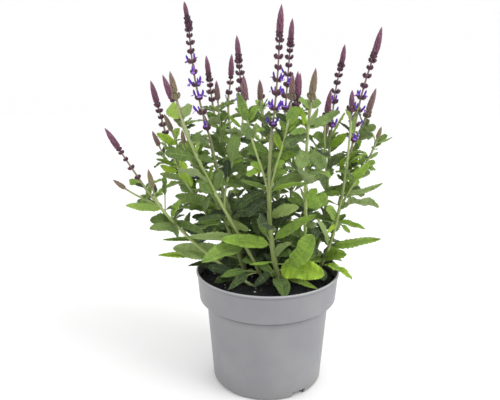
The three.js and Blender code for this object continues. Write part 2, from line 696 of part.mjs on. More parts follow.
// A planned leaf reaches from its stem to its tip along an arc that bends by its droop.
function plannedLeaf(name, [height, tip, width, droop, stalk], shift) {
  const line = lines.get(name);
  const root = line.getPoint(placeAtHeight(line, height));
  const toFront = vec(front.at).sub(vec(tip)).normalize();
  const chord = vec(tip).addScaledVector(toFront, shift).sub(root);
  const half = (Math.max(Math.abs(droop), 1) * degrees) / 2;
  const heading = Math.atan2(chord.y, chord.x) / degrees;
  const rise = Math.atan2(chord.z, Math.hypot(chord.x, chord.y)) / degrees + droop / 2;
  const length = (chord.length() * half) / Math.sin(half);
  const roll = rollToLight(new THREE.Vector3(root.x / 200, -1, 0.5), heading, rise - droop / 2);
  const corners = length < blade.simpleLength ? 3 : 4;
  return { root, heading, rise, droop, roll, length, width, stalk, fold: blade.plannedFold, corners };
}

// Opposite pairs of leaves, each pair square to the one below, long at the foot and short at the top.
function ruledLeaves(item, seed) {
  const line = lines.get(item.name);
  const isShoot = item.at !== undefined;
  const next = drawer(seed);
  const spread = (size) => (next() - 0.5) * size;
  const firstTurn = next() * 180;
  const leaves = [];
  for (let k = 0; k < item.pairs; k++) {
    const share = (k + 0.5) / item.pairs;
    const root = line.getPoint(lerp(...(isShoot ? ruled.shootSpan : ruled.span), share));
    for (let side = 0; side < 2; side++) {
      const heading = firstTurn + k * 90 + side * 180 + spread(ruled.turnSpread);
      const length = (isShoot ? ruled.shootLength : lerp(...ruled.length, share)) * (0.85 + 0.3 * next());
      const rise = lerp(...ruled.rise, share) + spread(ruled.riseSpread);
      const droop = lerp(...ruled.droop, share) + spread(ruled.droopSpread);
      const light = new THREE.Vector3(root.x, root.y, 0).normalize().multiplyScalar(0.9).add(up);
      const roll = rollToLight(light, heading, rise - droop / 2) + spread(ruled.rollSpread);
      const stalk = isShoot ? ruled.shootStalk : lerp(...ruled.stalk, share);
      const width = length * lerp(...ruled.width, share);
      const fold = blade.ruledFold;
      leaves.push({ root, heading, rise, droop, roll, length, width, stalk, fold, corners: 3 });
    }
  }
  return leaves;
}

function roomyLeaf(name, row) {
  const tried = front.shifts.map((shift) => plannedLeaf(name, row, shift));
  const found = tried.find((leaf) => isClear(leaf, plantOf(name)));
  return found ?? settled(tried[0], plantOf(name), plannedTries);
}

function placedLeaves() {
  const placed = [];
  const put = (leaf, plant) => {
    if (!leaf) return;
    addObstacle(leafSamples(leaf), 0, plant, leaf.root, false);
    placed.push({ ...leaf, plant });
  };
  for (const [name, rows] of Object.entries(plannedLeaves)) {
    for (const row of rows) put(roomyLeaf(name, row), plantOf(name));
  }
  [...stems, ...shoots].forEach((item, i) => {
    for (const leaf of ruledLeaves(item, i * 7 + 3)) {
      put(settled(leaf, plantOf(item.name), ruledTries), plantOf(item.name));
    }
  });
  return placed;
}

// ---------------------------------------------------------------- flower spikes

// The rings of a spike from its foot up: the bare line, each whorl's calyces, and the tight bud tip.
function spikeRings(item, length) {
  const { neckRise, topSize, firstShare, shareStep, budStep, whorlRoom } = spikeForm;
  const cone = Math.min(item.cone, length - (item.whorls ? whorlRoom : 2));
  const rings = [{ kind: "line", at: 0 }];
  const shares = Array.from({ length: item.whorls }, (_, j) => firstShare + shareStep * (item.whorls - j));
  const total = shares.reduce((a, b) => a + b, 0);
  let at = 1;
  shares.forEach((share, rank) => {
    const size = lerp(1, topSize, rank / Math.max(item.whorls - 1, 1));
    rings.push({ kind: "line", at });
    rings.push({ kind: "calyces", at, step: rank, size });
    rings.push({ kind: "line", at: at + neckRise * size });
    at += (share / total) * (length - cone - 1);
  });
  const steps = Math.max(Math.round(cone / budStep), 3);
  for (let i = 0; i < steps; i++) {
    rings.push({ kind: "buds", at: length - cone * (1 - i / steps), share: i / steps, step: i, cone });
  }
  rings.push({ kind: "tip", at: length });
  return rings;
}

// A bud cone's radius at a share of its height, before its buds stand out of it.
function coneRadius(cone, share) {
  const swell = Math.sin(Math.PI * (0.16 + 0.84 * share)) ** 0.6;
  return (spikeForm.girth * cone - 0.1) * swell;
}

// Six corners go round a spike. Every other one is a calyx or a raised bud, and they change places from
// ring to ring.
function spikeSolid(item) {
  const [foot, tip] = [vec(item.top), vec(item.tip)];
  const along = tip.clone().sub(foot).normalize();
  foot.addScaledVector(along, joinGap);
  const { across, over } = squareTo(along);
  const rings = spikeRings(item, foot.distanceTo(tip));
  const outwards = (corner) => {
    const turn = corner * 60 * degrees;
    return across.clone().multiplyScalar(Math.sin(turn)).addScaledVector(over, Math.cos(turn));
  };
  const body = limb(6, rings.length - 1, true, (i, a, b) => {
    const ring = rings[i];
    const middle = foot.clone().addScaledVector(along, ring.at);
    if (ring.kind === "tip" || (a === 0 && b === 0)) return middle;
    const corner = Math.round(Math.atan2(a, b) / (60 * degrees));
    const outward = outwards(corner);
    if (ring.kind === "line") return middle.addScaledVector(outward, spikeForm.line);
    const isRaised = (corner + ring.step) % 2 !== 0;
    if (ring.kind === "calyces") {
      const rise = isRaised ? spikeForm.calyxRise : spikeForm.waistRise;
      const reach = isRaised ? spikeForm.calyxReach : spikeForm.waist;
      return middle.addScaledVector(along, ring.size * rise).addScaledVector(outward, ring.size * reach);
    }
    const swollen = isRaised ? spikeForm.raised : spikeForm.sunk;
    return middle.addScaledVector(outward, coneRadius(ring.cone, ring.share) * swollen);
  });
  const inFlower = rings.filter((ring) => ring.kind === "calyces" && ring.step < item.open);
  const flowers = inFlower.flatMap((ring) => {
    const middle = foot.clone().addScaledVector(along, ring.at + spikeForm.neckRise * ring.size * 0.8);
    const corners = ring.step % 2 ? [0, 2] : [1, 3];
    return corners.map((corner) => flowerSolid(middle, outwards(corner), along));
  });
  return wasm.Manifold.union([body, ...flowers]);
}

// An open flower reaches out of its calyx and arches up into its hood.
function flowerSolid(middle, outward, along) {
  const { across, over } = squareTo(outward);
  return limb(3, 2, true, (ring, a, b) => {
    const [reach, rise, wide] = flowerForm[ring];
    const centre = middle.clone().addScaledVector(outward, reach).addScaledVector(along, rise);
    return centre.addScaledVector(across, a * wide).addScaledVector(over, b * wide);
  });
}

// ---------------------------------------------------------------- assembly

const finish = {
  pot: new THREE.MeshStandardMaterial({ color: 0x97979b, roughness: 0.55, metalness: 0 }),
  soil: new THREE.MeshStandardMaterial({ color: 0x1b1a1c, roughness: 0.95, metalness: 0 }),
  foliage: new THREE.MeshStandardMaterial({ color: 0x5d8432, roughness: 0.6, metalness: 0 }),
  spike: new THREE.MeshStandardMaterial({ color: 0x6b3f5c, roughness: 0.7, metalness: 0 }),
};

const salvia = new THREE.Group();
salvia.add(meshOf("pot", makePot(), finish.pot));
salvia.add(meshOf("soil", makeSoil(), finish.soil));

// One leafy stem with its side shoots and leaves.
function leafyStem(stem, leaves) {
  const radii = stem.name === "centre" ? stemRadius.thick : stemRadius.main;
  const main = stemSolid(lines.get(stem.name), radii, 6, soil.holeDepth);
  const side = shoots.filter((shoot) => shoot.on === stem.name);
  const limbs = side.map((shoot) => {
    const line = lines.get(shoot.name);
    const steps = Math.max(Math.round(line.getPoint(0).distanceTo(line.getPoint(1)) / 32), 2);
    return stemSolid(line, stemRadius.shoot, steps, 0);
  });
  const blades = leaves.filter((leaf) => leaf.plant === stem.name).map(leafSolid);
  return wasm.Manifold.union([main, ...limbs, ...blades]);
}

const leaves = placedLeaves();
for (const stem of stems) salvia.add(meshOf(`stem_${stem.name}`, leafyStem(stem, leaves), finish.foliage));
for (const item of [...stems, ...shoots]) {
  salvia.add(meshOf(`spike_${item.name}`, spikeSolid(item), finish.spike));
}

export default salvia;
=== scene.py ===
import bpy
import bmesh
import json
import math
import time
import numpy as np
from itertools import product
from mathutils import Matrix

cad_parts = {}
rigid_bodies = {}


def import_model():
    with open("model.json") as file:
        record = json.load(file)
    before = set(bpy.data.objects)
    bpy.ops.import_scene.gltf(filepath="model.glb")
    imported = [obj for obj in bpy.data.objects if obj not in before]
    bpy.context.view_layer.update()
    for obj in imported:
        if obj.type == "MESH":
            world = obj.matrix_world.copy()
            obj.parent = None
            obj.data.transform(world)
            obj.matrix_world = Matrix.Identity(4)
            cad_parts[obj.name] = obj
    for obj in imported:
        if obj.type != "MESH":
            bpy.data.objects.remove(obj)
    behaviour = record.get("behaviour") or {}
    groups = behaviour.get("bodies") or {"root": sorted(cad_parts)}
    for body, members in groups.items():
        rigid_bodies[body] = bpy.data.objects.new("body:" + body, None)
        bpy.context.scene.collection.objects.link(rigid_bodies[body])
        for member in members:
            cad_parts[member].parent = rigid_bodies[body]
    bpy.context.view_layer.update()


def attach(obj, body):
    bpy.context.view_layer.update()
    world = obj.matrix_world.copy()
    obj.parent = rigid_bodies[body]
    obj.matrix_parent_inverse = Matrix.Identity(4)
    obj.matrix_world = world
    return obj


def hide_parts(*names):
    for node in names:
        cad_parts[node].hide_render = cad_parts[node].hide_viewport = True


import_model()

# A flowering salvia in its grower's pot. The plan is in millimetres, as a gardener would measure it,
# and mm turns it into Blender's metres. -Y is the plant's front.
mm = 0.001
started = time.time()


def report(stage):
    print(f"{stage}: {time.time() - started:.0f} s, {len(bpy.data.objects)} objects")


view = {"place": (-0.0237, -0.7575, 0.4587), "tiltDown": 15.32, "lens": 43.2, "sensor": 36, "nearest": 0.01}


def setCamera():
    bpy.ops.object.camera_add(location=view["place"], rotation=(math.radians(90 - view["tiltDown"]), 0, 0))
    camera = bpy.context.object
    camera.data.lens = view["lens"]
    camera.data.sensor_width = view["sensor"]
    camera.data.clip_start = view["nearest"]
    bpy.context.scene.camera = camera


def leaveEdit():
    if bpy.context.object and bpy.context.object.mode == "EDIT":
        bpy.ops.object.mode_set(mode="OBJECT")


def choose(*pieces):
    # leaves edit mode and selects these pieces alone, the first one active
    leaveEdit()
    bpy.ops.object.select_all(action="DESELECT")
    for piece in pieces:
        piece.select_set(True)
    if pieces:
        bpy.context.view_layer.objects.active = pieces[0]


def begin(name, addPrimitive, **settings):
    # adds a primitive and leaves it in edit mode with its place in its mesh
    choose()
    addPrimitive(**settings)
    piece = bpy.context.object
    piece.name = name
    bpy.ops.object.transform_apply(location=True, rotation=True, scale=True)
    bpy.ops.object.mode_set(mode="EDIT")
    bpy.ops.mesh.select_mode(type="VERT")
    return piece


def pick(piece, test):
    # selects the vertices that pass the test, with the edges and faces between them
    shape = bmesh.from_edit_mesh(piece.data)
    for face in shape.faces:
        face.select_set(False)
    for edge in shape.edges:
        edge.select_set(False)
    for vertex in shape.verts:
        vertex.select_set(test(vertex.co))
    shape.select_flush(True)
    bmesh.update_edit_mesh(piece.data)


def extrude(step):
    bpy.ops.mesh.extrude_region_move(TRANSFORM_OT_translate={"value": step})


def resize(scale, centre):
    bpy.ops.transform.resize(value=scale, center_override=centre)


def move(step):
    bpy.ops.transform.translate(value=step)


def drawUp(first, rings, scale=mm):
    # draws the selected ring on through further ones, each a radius and a height
    radius, height = first
    for nextRadius, nextHeight in rings:
        extrude((0, 0, (nextHeight - height) * scale))
        resize((nextRadius / radius, nextRadius / radius, 1), (0, 0, nextHeight * scale))
        radius, height = nextRadius, nextHeight


def drawAlong(girth, rings, narrow=1):
    # draws the selected ring on along X, each further one a place and a girth
    at = 0.0
    for place, wide in rings:
        extrude((place - at, 0, 0))
        resize((1, wide / girth * (narrow if at < 0.5 < place else 1), wide / girth), (place, 0, 0))
        at, girth = place, wide


def finishModifier(piece, kind, **settings):
    choose(piece)
    modifier = piece.modifiers.new(kind.lower(), kind)
    for key, value in settings.items():
        setattr(modifier, key, value)
    bpy.ops.object.modifier_apply(modifier=modifier.name)


def endEdit(piece, smoothAngle=None):
    bpy.ops.object.mode_set(mode="EDIT")
    bpy.ops.mesh.select_all(action="SELECT")
    bpy.ops.mesh.normals_make_consistent(inside=False)
    choose(piece)
    if smoothAngle is None:
        bpy.ops.object.shade_smooth()
    else:
        bpy.ops.object.shade_smooth_by_angle(angle=math.radians(smoothAngle))
    return piece


def joinPieces(name, parts):
    choose(*parts)
    if len(parts) > 1:
        bpy.ops.object.join()
    piece = bpy.context.object
    piece.name = piece.data.name = name
    return piece


def corners(piece):
    # the piece's vertices as an array
    places = np.empty(len(piece.data.vertices) * 3)
    piece.data.vertices.foreach_get("co", places)
    return places.reshape(-1, 3)


def copyPiece(pattern, places, **attributes):
    # a copy with a mesh of its own, its vertices at new places, and a value of each attribute all over it
    copy = pattern.copy()
    copy.data = pattern.data.copy()
    copy.data.vertices.foreach_set("co", np.ascontiguousarray(places, dtype=np.float32).ravel())
    for name, value in attributes.items():
        fillAttribute(copy, name, value)
    bpy.context.scene.collection.objects.link(copy)
    return copy


def fillAttribute(piece, name, values):
    held = piece.data.attributes.get(name) or piece.data.attributes.new(name, "FLOAT", "POINT")
    held.data.foreach_set("value", np.broadcast_to(values, len(piece.data.vertices)).astype(np.float32))


def unit(vector):
    vector = np.asarray(vector, dtype=float)
    return vector / np.linalg.norm(vector)


def blend(first, last, share):
    return first + (last - first) * share


def towards(degrees):
    # how far a heading goes along X and along Y
    return math.cos(math.radians(degrees)), math.sin(math.radians(degrees))


def turned(places, angle):
    # about the Z axis
    c, s = math.cos(angle), math.sin(angle)
    return places @ np.array([[c, s, 0], [-s, c, 0], [0, 0, 1]])


def tilted(places, angle):
    # about the Y axis
    c, s = math.cos(angle), math.sin(angle)
    return places @ np.array([[c, 0, s], [0, 1, 0], [-s, 0, c]])


def drawer(seed):
    # seeded random numbers from 0 to 1
    state = ((seed + 11) * 48271) % 2147483647

    def draw():
        nonlocal state
        state = (state * 16807) % 2147483647
        return state / 2147483647

    draw()
    draw()
    return draw


def shade(red, green, blue):
    # a colour as it shows on a screen, 0 to 255, as the shader wants it
    return tuple((value / 255 / 12.92) if value < 11 else ((value / 255 + 0.055) / 1.055) ** 2.4
                 for value in (red, green, blue))


class Wire:
    # a socket that can be reckoned with
    def __init__(self, finish, socket):
        self.finish = finish
        self.socket = socket

    def maths(self, operation, *values):
        return self.finish.node("Math", {"operation": operation}, dict(enumerate((self, *values))))

    def __add__(self, other):
        return self.maths("ADD", other)

    def __sub__(self, other):
        return self.maths("SUBTRACT", other)

    def __mul__(self, other):
        return self.maths("MULTIPLY", other)

    __radd__ = __add__

    def __rsub__(self, other):
        return self.finish.node("Math", {"operation": "SUBTRACT"}, {0: other, 1: self})

    def between(self, low, high):
        # 0 below low, 1 above high, smooth between them
        settings = {"interpolation_type": "SMOOTHSTEP"}
        return self.finish.node("MapRange", settings, {"Value": self, "From Min": low, "From Max": high})


class Finish:
    # a material, with its place in the object at hand
    def __init__(self, name, **shader):
        self.material = bpy.data.materials.new(name)
        self.material.use_nodes = True
        self.tree = self.material.node_tree
        self.shader = self.tree.nodes["Principled BSDF"]
        for socket, value in shader.items():
            self.shader.inputs[socket.replace("_", " ")].default_value = value
        self.place = self.node("TexCoord", output=3)

    def feed(self, socket, value):
        if isinstance(value, Wire):
            self.tree.links.new(value.socket, socket)
        else:
            socket.default_value = value

    def node(self, kind, settings={}, inputs={}, output=0):
        made = self.tree.nodes.new("ShaderNode" + kind)
        for key, value in settings.items():
            setattr(made, key, value)
        for key, value in inputs.items():
            self.feed(made.inputs[key], value)
        return Wire(self, made.outputs[output])

    def attribute(self, name):
        return self.node("Attribute", {"attribute_name": name}, output=2)

    def noise(self, scale, detail=3.0, roughness=0.55, vector=None):
        inputs = {"Vector": vector or self.place, "Scale": scale, "Detail": detail, "Roughness": roughness}
        return self.node("TexNoise", {}, inputs)

    def axis(self, vector, index):
        return self.node("SeparateXYZ", {}, {0: vector}, index)

    def mix(self, share, *colours):
        first, second = ((*shade(*colour), 1) if isinstance(colour, tuple) else colour for colour in colours)
        return self.node("Mix", {"data_type": "RGBA"}, {0: share, 6: first, 7: second}, 2)

    def ramp(self, value, stops):
        ramp = self.node("ValToRGB", {}, {"Fac": value})
        elements = ramp.socket.node.color_ramp.elements
        while len(elements) < len(stops):
            elements.new(0.5)
        for element, (place, *colour) in zip(elements, stops):
            element.position = place
            element.color = (*shade(*colour), 1)
        return ramp

    def bump(self, height, distance, strength):
        inputs = {"Height": height, "Distance": distance, "Strength": strength}
        self.feed(self.shader.inputs["Normal"], self.node("Bump", {}, inputs))

    def paint(self, colour, roughness):
        self.feed(self.shader.inputs["Base Color"], colour)
        self.feed(self.shader.inputs["Roughness"], roughness)
        return self.material


def named(rows, *keys):
    # each row's values by name, its places as arrays
    return {name: {key: np.array(value, dtype=float) if isinstance(value, tuple) else value
                   for key, value in zip(keys, row)} for name, row in rows.items()}


stems = named({
    "left_tall": ((-32, 18), (-0.2, 0), (-75, 15, 328), (-104, 12, 499), 30, 10, 6, 2),
    "centre": ((14, -14), (-0.25, -0.1), (3, -32, 346), (12, -46, 493), 35, 8, 4, 2),
    "centre_back": ((12, 28), (0, 0.1), (22, 30, 358), (30, 36, 480), 30, 8, 4, 2),
    "right_tall": ((70, 14), (0.5, -0.1), (107, 2, 322), (135, -6, 469), 36, 8, 4, 1),
    "right_back": ((58, 36), (0.6, 0), (85, 38, 335), (99, 44, 448), 28, 7, 3, 1),
    "right_front": ((46, -14), (0.05, -0.35), (46, -68, 388), (49, -80, 424), 32, 1, 0, 1),
    "left_front": ((-8, -12), (-0.42, -0.2), (-108, -62, 388), (-114, -68, 420), 32, 1, 0, 1),
    "far_left": ((-26, -34), (-1.5, 0.05), (-163, -22, 284), (-203, -20, 349), 30, 4, 0, 1),
    "left_back": ((-44, 24), (-0.35, 0), (-134, 27, 332), (-152, 30, 403), 30, 5, 0, 1),
    "left_inner": ((-30, -2), (-0.3, 0), (-112, 2, 356), (-132, 0, 412), 32, 2, 0, 1),
    "back_left": ((-18, 44), (-0.15, 0.4), (-77, 98, 368), (-85, 104, 432), 30, 4, 0, 1),
    "back_mid": ((0, 56), (-0.1, 0.5), (-55, 128, 375), (-50, 138, 433), 32, 2, 0, 1),
    "back_right": ((30, 58), (0.1, 0.45), (45, 120, 361), (49, 128, 407), 34, 2, 0, 1),
    "back_far": ((-22, 66), (0, 0.55), (-6, 148, 367), (-9, 156, 395), 32, 1, 0, 1),
}, "foot", "lean", "top", "tip", "cone", "whorls", "open", "pairs")

shoots = named({
    "left_front_inner": ("left_front", 0.42, (-33, 2, 372), (-40, 8, 459), 28, 6, 1, 1),
    "centre_left": ("centre", 0.56, (-29, -62, 384), (-31, -66, 416), 30, 0, 0, 0),
    "centre_right": ("centre", 0.56, (23, -72, 388), (24, -78, 418), 30, 1, 0, 0),
    "centre_back_left": ("centre_back", 0.62, (-10, 44, 374), (-11, 46, 403), 28, 0, 0, 1),
    "centre_back_right": ("centre_back", 0.62, (36, 40, 366), (39, 42, 414), 32, 2, 0, 1),
    "right_back_low": ("right_back", 0.6, (74, 14, 356), (79, 14, 393), 30, 1, 0, 0),
    "right_tall_front": ("right_tall", 0.6, (94, -58, 373), (93, -64, 399), 30, 1, 0, 0),
    "right_tall_out": ("right_tall", 0.66, (132, 48, 352), (145, 56, 391), 32, 2, 0, 1),
    "right_tall_low": ("right_tall", 0.5, (137, -4, 331), (142, -4, 348), 17, 0, 0, 0),
    "left_back_out": ("left_back", 0.56, (-150, 76, 306), (-162, 86, 329), 24, 0, 0, 1),
    "left_back_near": ("left_back", 0.66, (-124, 14, 338), (-134, 14, 362), 24, 0, 0, 0),
    "far_left_low": ("far_left", 0.76, (-178, -30, 273), (-194, -32, 286), 19, 0, 0, 0),
    "far_left_near": ("far_left", 0.52, (-142, -46, 276), (-147, -48, 303), 24, 0, 0, 0),
    "left_inner_low": ("left_inner", 0.6, (-106, -16, 326), (-108, -18, 346), 18, 0, 0, 0),
    "back_left_near": ("back_left", 0.66, (-66, 44, 372), (-68, 43, 402), 26, 0, 0, 1),
    "back_mid_left": ("back_mid", 0.6, (-84, 112, 322), (-92, 118, 350), 26, 0, 0, 1),
    "back_right_out": ("back_right", 0.6, (82, 94, 318), (90, 98, 346), 26, 0, 0, 1),
}, "on", "at", "top", "tip", "cone", "whorls", "open", "pairs")

everyStem = {**stems, **shoots}

# A leaf's row: the height of its root on the stem, its tip, its width, how many degrees it droops, the
# stalk's share of its length, and its tone. The tone is how light the leaf looks where it grows: partly its
# own green and partly painted light and shade.
plannedLeaves = {
    "centre": [
        (152, (17, -82, 151), 22, 20, 0.25, "dim"), (159, (68, -66, 173), 31, 14, 0.1, "lime"),
        (169, (52, -60, 224), 24, -75, 0.3, "gold"), (194, (-59, -72, 221), 19, 20, 0.1, "bright"),
        (194, (-15, -48, 241), 7, 5, 0.4, "mid"), (193, (-21, 5, 226), 19, 20, 0.15, "dim"),
        (271, (-41, -25, 247), 14, 40, 0.15, "deep"), (317, (-27, -35, 328), 17, 15, 0.1, "mid"),
        (317, (24, -58, 319), 9, 10, 0.1, "bright"), (271, (49, -12, 285), 15, 25, 0.1, "blue"),
        (269, (48, -40, 283), 7, 15, 0.1, "bright"), (235, (36, -50, 256), 15, 10, 0.06, "silver"),
        (201, (58, -50, 246), 14, 8, 0.1, "green"), (174, (28, -46, 208), 10, 50, 0.08, "pale"),
        (159, (-19, -52, 152), 11, 30, 0.3, "deep"), (171, (-24, -40, 177), 4, 5, 0.2, "bright"),
        (271, (-36, -50, 290), 7, 15, 0.06, "mid"),
    ],
    "right_front": [
        (325, (32, -84, 312), 17, 30, 0.04, "soft"), (325, (61, -84, 311), 17, 30, 0.04, "soft"),
        (352, (22, -76, 350), 8, 15, 0.1, "mid"), (353, (82, -50, 373), 12, 10, 0.06, "blue"),
        (378, (31, -79, 390), 9, 10, 0.06, "bright"), (378, (55, -77, 388), 9, 10, 0.06, "soft"),
        (355, (54, -67, 379), 7, 0, 0.1, "pale"), (252, (70, -56, 271), 17, 15, 0.08, "bright"),
        (254, (24, -28, 260), 10, 15, 0.15, "mid"), (254, (37, -54, 281), 5, 5, 0.2, "mid"),
        (215, (60, -47, 191), 10, 40, 0.15, "deep"), (350, (15, -84, 337), 15, 20, 0.1, "dim"),
        (350, (32, -76, 382), 7, 0, 0.1, "lime"),
    ],
    "right_tall": [
        (180, (145, -25, 206), 13, 8, 0.12, "olive"), (165, (100, -35, 188), 16, 25, 0.06, "lime"),
        (182, (62, -28, 234), 10, 15, 0.12, "pale"), (156, (104, -60, 165), 15, 25, 0.08, "lime"),
        (218, (77, 0, 243), 13, 15, 0.1, "olive"), (220, (126, -15, 216), 8, 20, 0.1, "bright"),
        (259, (150, 5, 273), 8, -35, 0.12, "pale"), (259, (74, 12, 255), 8, 20, 0.12, "bright"),
        (276, (125, -15, 304), 14, -30, 0.1, "bright"), (297, (107, -8, 318), 10, 10, 0.08, "bright"),
        (300, (118, -36, 321), 10, 10, 0.08, "lime"), (311, (93, 25, 291), 15, 25, 0.1, "lime"),
    ],
    "left_front": [
        (207, (-101, -50, 217), 12, 10, 0.1, "pale"), (195, (-81, -87, 198), 20, 25, 0.1, "bright"),
        (238, (-92, -41, 236), 8, 15, 0.1, "deep"), (275, (-83, -65, 283), 18, 10, 0.1, "mid"),
        (272, (-58, -40, 299), 15, 0, 0.1, "blue"), (317, (-124, -59, 325), 15, 10, 0.1, "dim"),
        (322, (-83, -61, 339), 6, 0, 0.1, "olive"), (319, (-67, -73, 317), 7, 10, 0.1, "mid"),
        (366, (-119, -46, 378), 17, 10, 0.06, "olive"), (365, (-90, -68, 382), 13, 5, 0.06, "pale"),
        (155, (-60, -62, 169), 10, 30, 0.45, "mid"), (155, (-50, -70, 156), 11, 30, 0.45, "deep"),
    ],
    "left_inner": [
        (171, (-123, -30, 195), 28, 4, 0.25, "pale"), (195, (-137, -20, 203), 6, 10, 0.5, "bright"),
        (243, (-121, -6, 258), 16, 15, 0.1, "blue"), (224, (-25, -22, 217), 11, 0, 0.04, "silver"),
        (161, (-84, -36, 173), 16, 15, 0.15, "deep"), (150, (-69, -50, 151), 13, 10, 0.15, "deep"),
    ],
    "far_left": [
        (246, (-179, -35, 254), 11, 0, 0.04, "olive"), (233, (-109, -38, 262), 11, 10, 0.1, "bright"),
        (225, (-148, -50, 228), 12, 5, 0.06, "blue"), (229, (-111, -65, 222), 10, 30, 0.1, "mid"),
        (230, (-79, -62, 226), 11, 20, 0.15, "dim"), (241, (-129, -34, 293), 9, 10, 0.5, "mid"),
    ],
    "left_back": [
        (290, (-145, 5, 305), 6, 15, 0.2, "bright"), (283, (-141, 12, 295), 9, -20, 0.2, "lime"),
        (260, (-113, 16, 302), 19, 10, 0.06, "lime"), (167, (-144, -20, 182), 10, 10, 0.35, "lime"),
        (160, (-104, -30, 171), 8, 15, 0.2, "deep"), (272, (-142, 10, 284), 9, 15, 0.1, "pale"),
    ],
    "left_back_near": [
        (320, (-141, -6, 340), 11, 15, 0.1, "lime"), (327, (-117, 18, 343), 10, 10, 0.1, "olive"),
    ],
    "left_front_inner": [
        (303, (-41, -21, 341), 18, 10, 0.1, "blue"), (284, (-52, -14, 308), 11, 10, 0.1, "deep"),
        (346, (-52, 10, 362), 5, -10, 0.08, "bright"),
    ],
    "right_back": [
        (313, (60, 24, 334), 18, 15, 0.1, "mid"), (313, (103, 28, 334), 12, 10, 0.1, "lime"),
        (281, (84, 24, 305), 11, 10, 0.1, "dim"), (327, (99, 20, 362), 5, 10, 0.08, "lime"),
    ],
    "right_tall_low": [
        (327, (130, -8, 341), 3, 5, 0.1, "pale"), (327, (157, -4, 335), 3, -20, 0.1, "pale"),
        (306, (139, -8, 316), 5, 10, 0.08, "pale"), (274, (96, -10, 295), 7, 10, 0.1, "dim"),
    ],
    "centre_left": [
        (361, (-37, -72, 397), 12, 0, 0.06, "green"), (338, (-32, -72, 362), 12, 10, 0.1, "soft"),
        (338, (-16, -56, 360), 7, 5, 0.1, "pale"), (361, (-15, -68, 382), 9, 10, 0.08, "bright"),
    ],
    "centre_right": [
        (359, (31, -78, 381), 14, 10, 0.08, "bright"),
    ],
    "right_tall_out": [
        (334, (142, 30, 344), 11, 10, 0.06, "pale"),
    ],
    "back_left": [
        (290, (-81, 70, 328), 12, 10, 0.08, "blue"),
    ],
    "back_mid": [
        (294, (-44, 100, 325), 12, 10, 0.08, "deep"),
    ],
    "back_left_near": [
        (346, (-81, 40, 360), 10, 10, 0.08, "mid"), (346, (-56, 48, 360), 10, 10, 0.08, "mid"),
    ],
}

# Young and half hidden leaves, set after all the others.
smallLeaves = {
    "right_front": [
        (262, (57, -52, 280), 12, 15, 0.1, "bright"), (252, (27, -38, 272), 9, 10, 0.15, "mid"),
    ],
    "left_back": [
        (222, (-101, 8, 225), 9, 5, 0.1, "deep"),
    ],
    "far_left": [
        (214, (-100, -22, 241), 9, 8, 0.1, "dim"), (158, (-80, -42, 160), 13, 20, 0.2, "deep"),
    ],
    "centre": [
        (150, (61, -60, 152), 8, 10, 0.3, "olive"),
    ],
    "right_tall": [
        (216, (80, 2, 206), 6, 10, 0.1, "lime"), (220, (109, 0, 206), 7, 10, 0.4, "olive"),
    ],
    "right_tall_front": [
        (350, (83, -40, 359), 4, 10, 0.1, "deep"),
    ],
}

# How much room leaves keep, in millimetres: to each other, to stems, spikes, soil and rim.
room = {
    "leafGap": 5.4, "ownShare": 0.6, "stemShare": 0.3, "sampleStep": 4.6, "rootZone": 9.5, "stem": 1.2,
    "shoot": 0.2, "flowers": 4, "buds": 2, "overSoil": 3.4, "insideRim": 8, "outsideRim": 4, "overRim": 4,
}

blade = {"plannedFold": 14, "basePower": 0.42, "tipPower": (0.45, 0.85)}

# Leaves that come by rule: a value at the stem's foot, then at its top, and how far it may stray.
ruled = {
    "span": (0.12, 0.98), "length": (74, 34), "width": (0.44, 0.36), "stalk": (0.26, 0.08), "rise": (24, 46),
    "droop": (55, 30), "fold": 8, "light": (0.9, 0), "inner": False,
    "turnSpread": 24, "sizeSpread": (0.85, 0.3), "riseSpread": 24, "droopSpread": 30, "rollSpread": 0.5,
}
ruledShoot = {**ruled, "span": (0.45, 0.95), "length": (32, 32), "stalk": (0.06, 0.06)}

# A leaf without room first moves its tip towards or away from the front, if it is a planned one.
# Then it turns, tips up or down, and at last shrinks.
# A filling leaf may not hide more than the allowed share of the others.
front = {
    "at": (-24, -757, 459), "shifts": (0, 7, -7, 14, -14, 22, -22, 31, -31), "reach": 0.0046, "behind": 1.0,
    "allowed": 0.12,
    # where one can look through the plant: across, height and reach, on the pot's middle plane
    "openings": ((111, 232, 11), (-177, 256, 10), (125, 326, 8), (84, 251, 8), (113, 251, 8), (113, 205, 8),
                 (84, 277, 7), (126, 274, 8), (-128, 262, 7), (-60, 382, 7), (-143, 228, 7), (-45, 364, 6),
                 (-96, 343, 5), (-47, 346, 5), (60, 326, 5), (98, 321, 6), (-126, 277, 5), (122, 379, 6),
                 (68, 271, 8), (72, 188, 6), (121, 184, 6)),
    "shown": ("left_tall", "centre", "right_front", "left_front", "right_tall", "left_front_inner",
              "centre_left", "centre_right", "far_left"),
}
tries = {
    "planned": ((0, 5, -5, 10, -10, 18, -18, 26, -26), (0, 5, -5, 10, -10, 20, -20), (1, 0.86)),
    "ruled": ((0, 15, -15, 30, -30, 45, -45), (0, 10, -10, 20, -20), (1, 0.8)),
    "filling": ((0, 22, -22, 44, -44), (0, 10, -10, 20, -20), (1, 0.75)),
}


def stemLine(stem):
    # a stem's four control points, from the soil to the foot of its spike
    start, end = np.array([*stem["foot"], soil["top"] + 3.0]), stem["top"]
    third = np.linalg.norm(end - start) / 3
    rise, arrive = unit([*stem["lean"], 1]), unit(stem["tip"] - end)
    return np.array([start, start + rise * third, end - arrive * third, end])


def shootLine(shoot, parent):
    start, end = pointOn(parent, shoot["at"]), shoot["top"]
    chord = end - start
    length = np.linalg.norm(chord)
    out = unit(chord / length * 0.6 + directionOn(parent, shoot["at"]) * 0.4)
    handle = length * 0.35
    return np.array([start, start + out * handle, end - unit(shoot["tip"] - end) * handle, end])


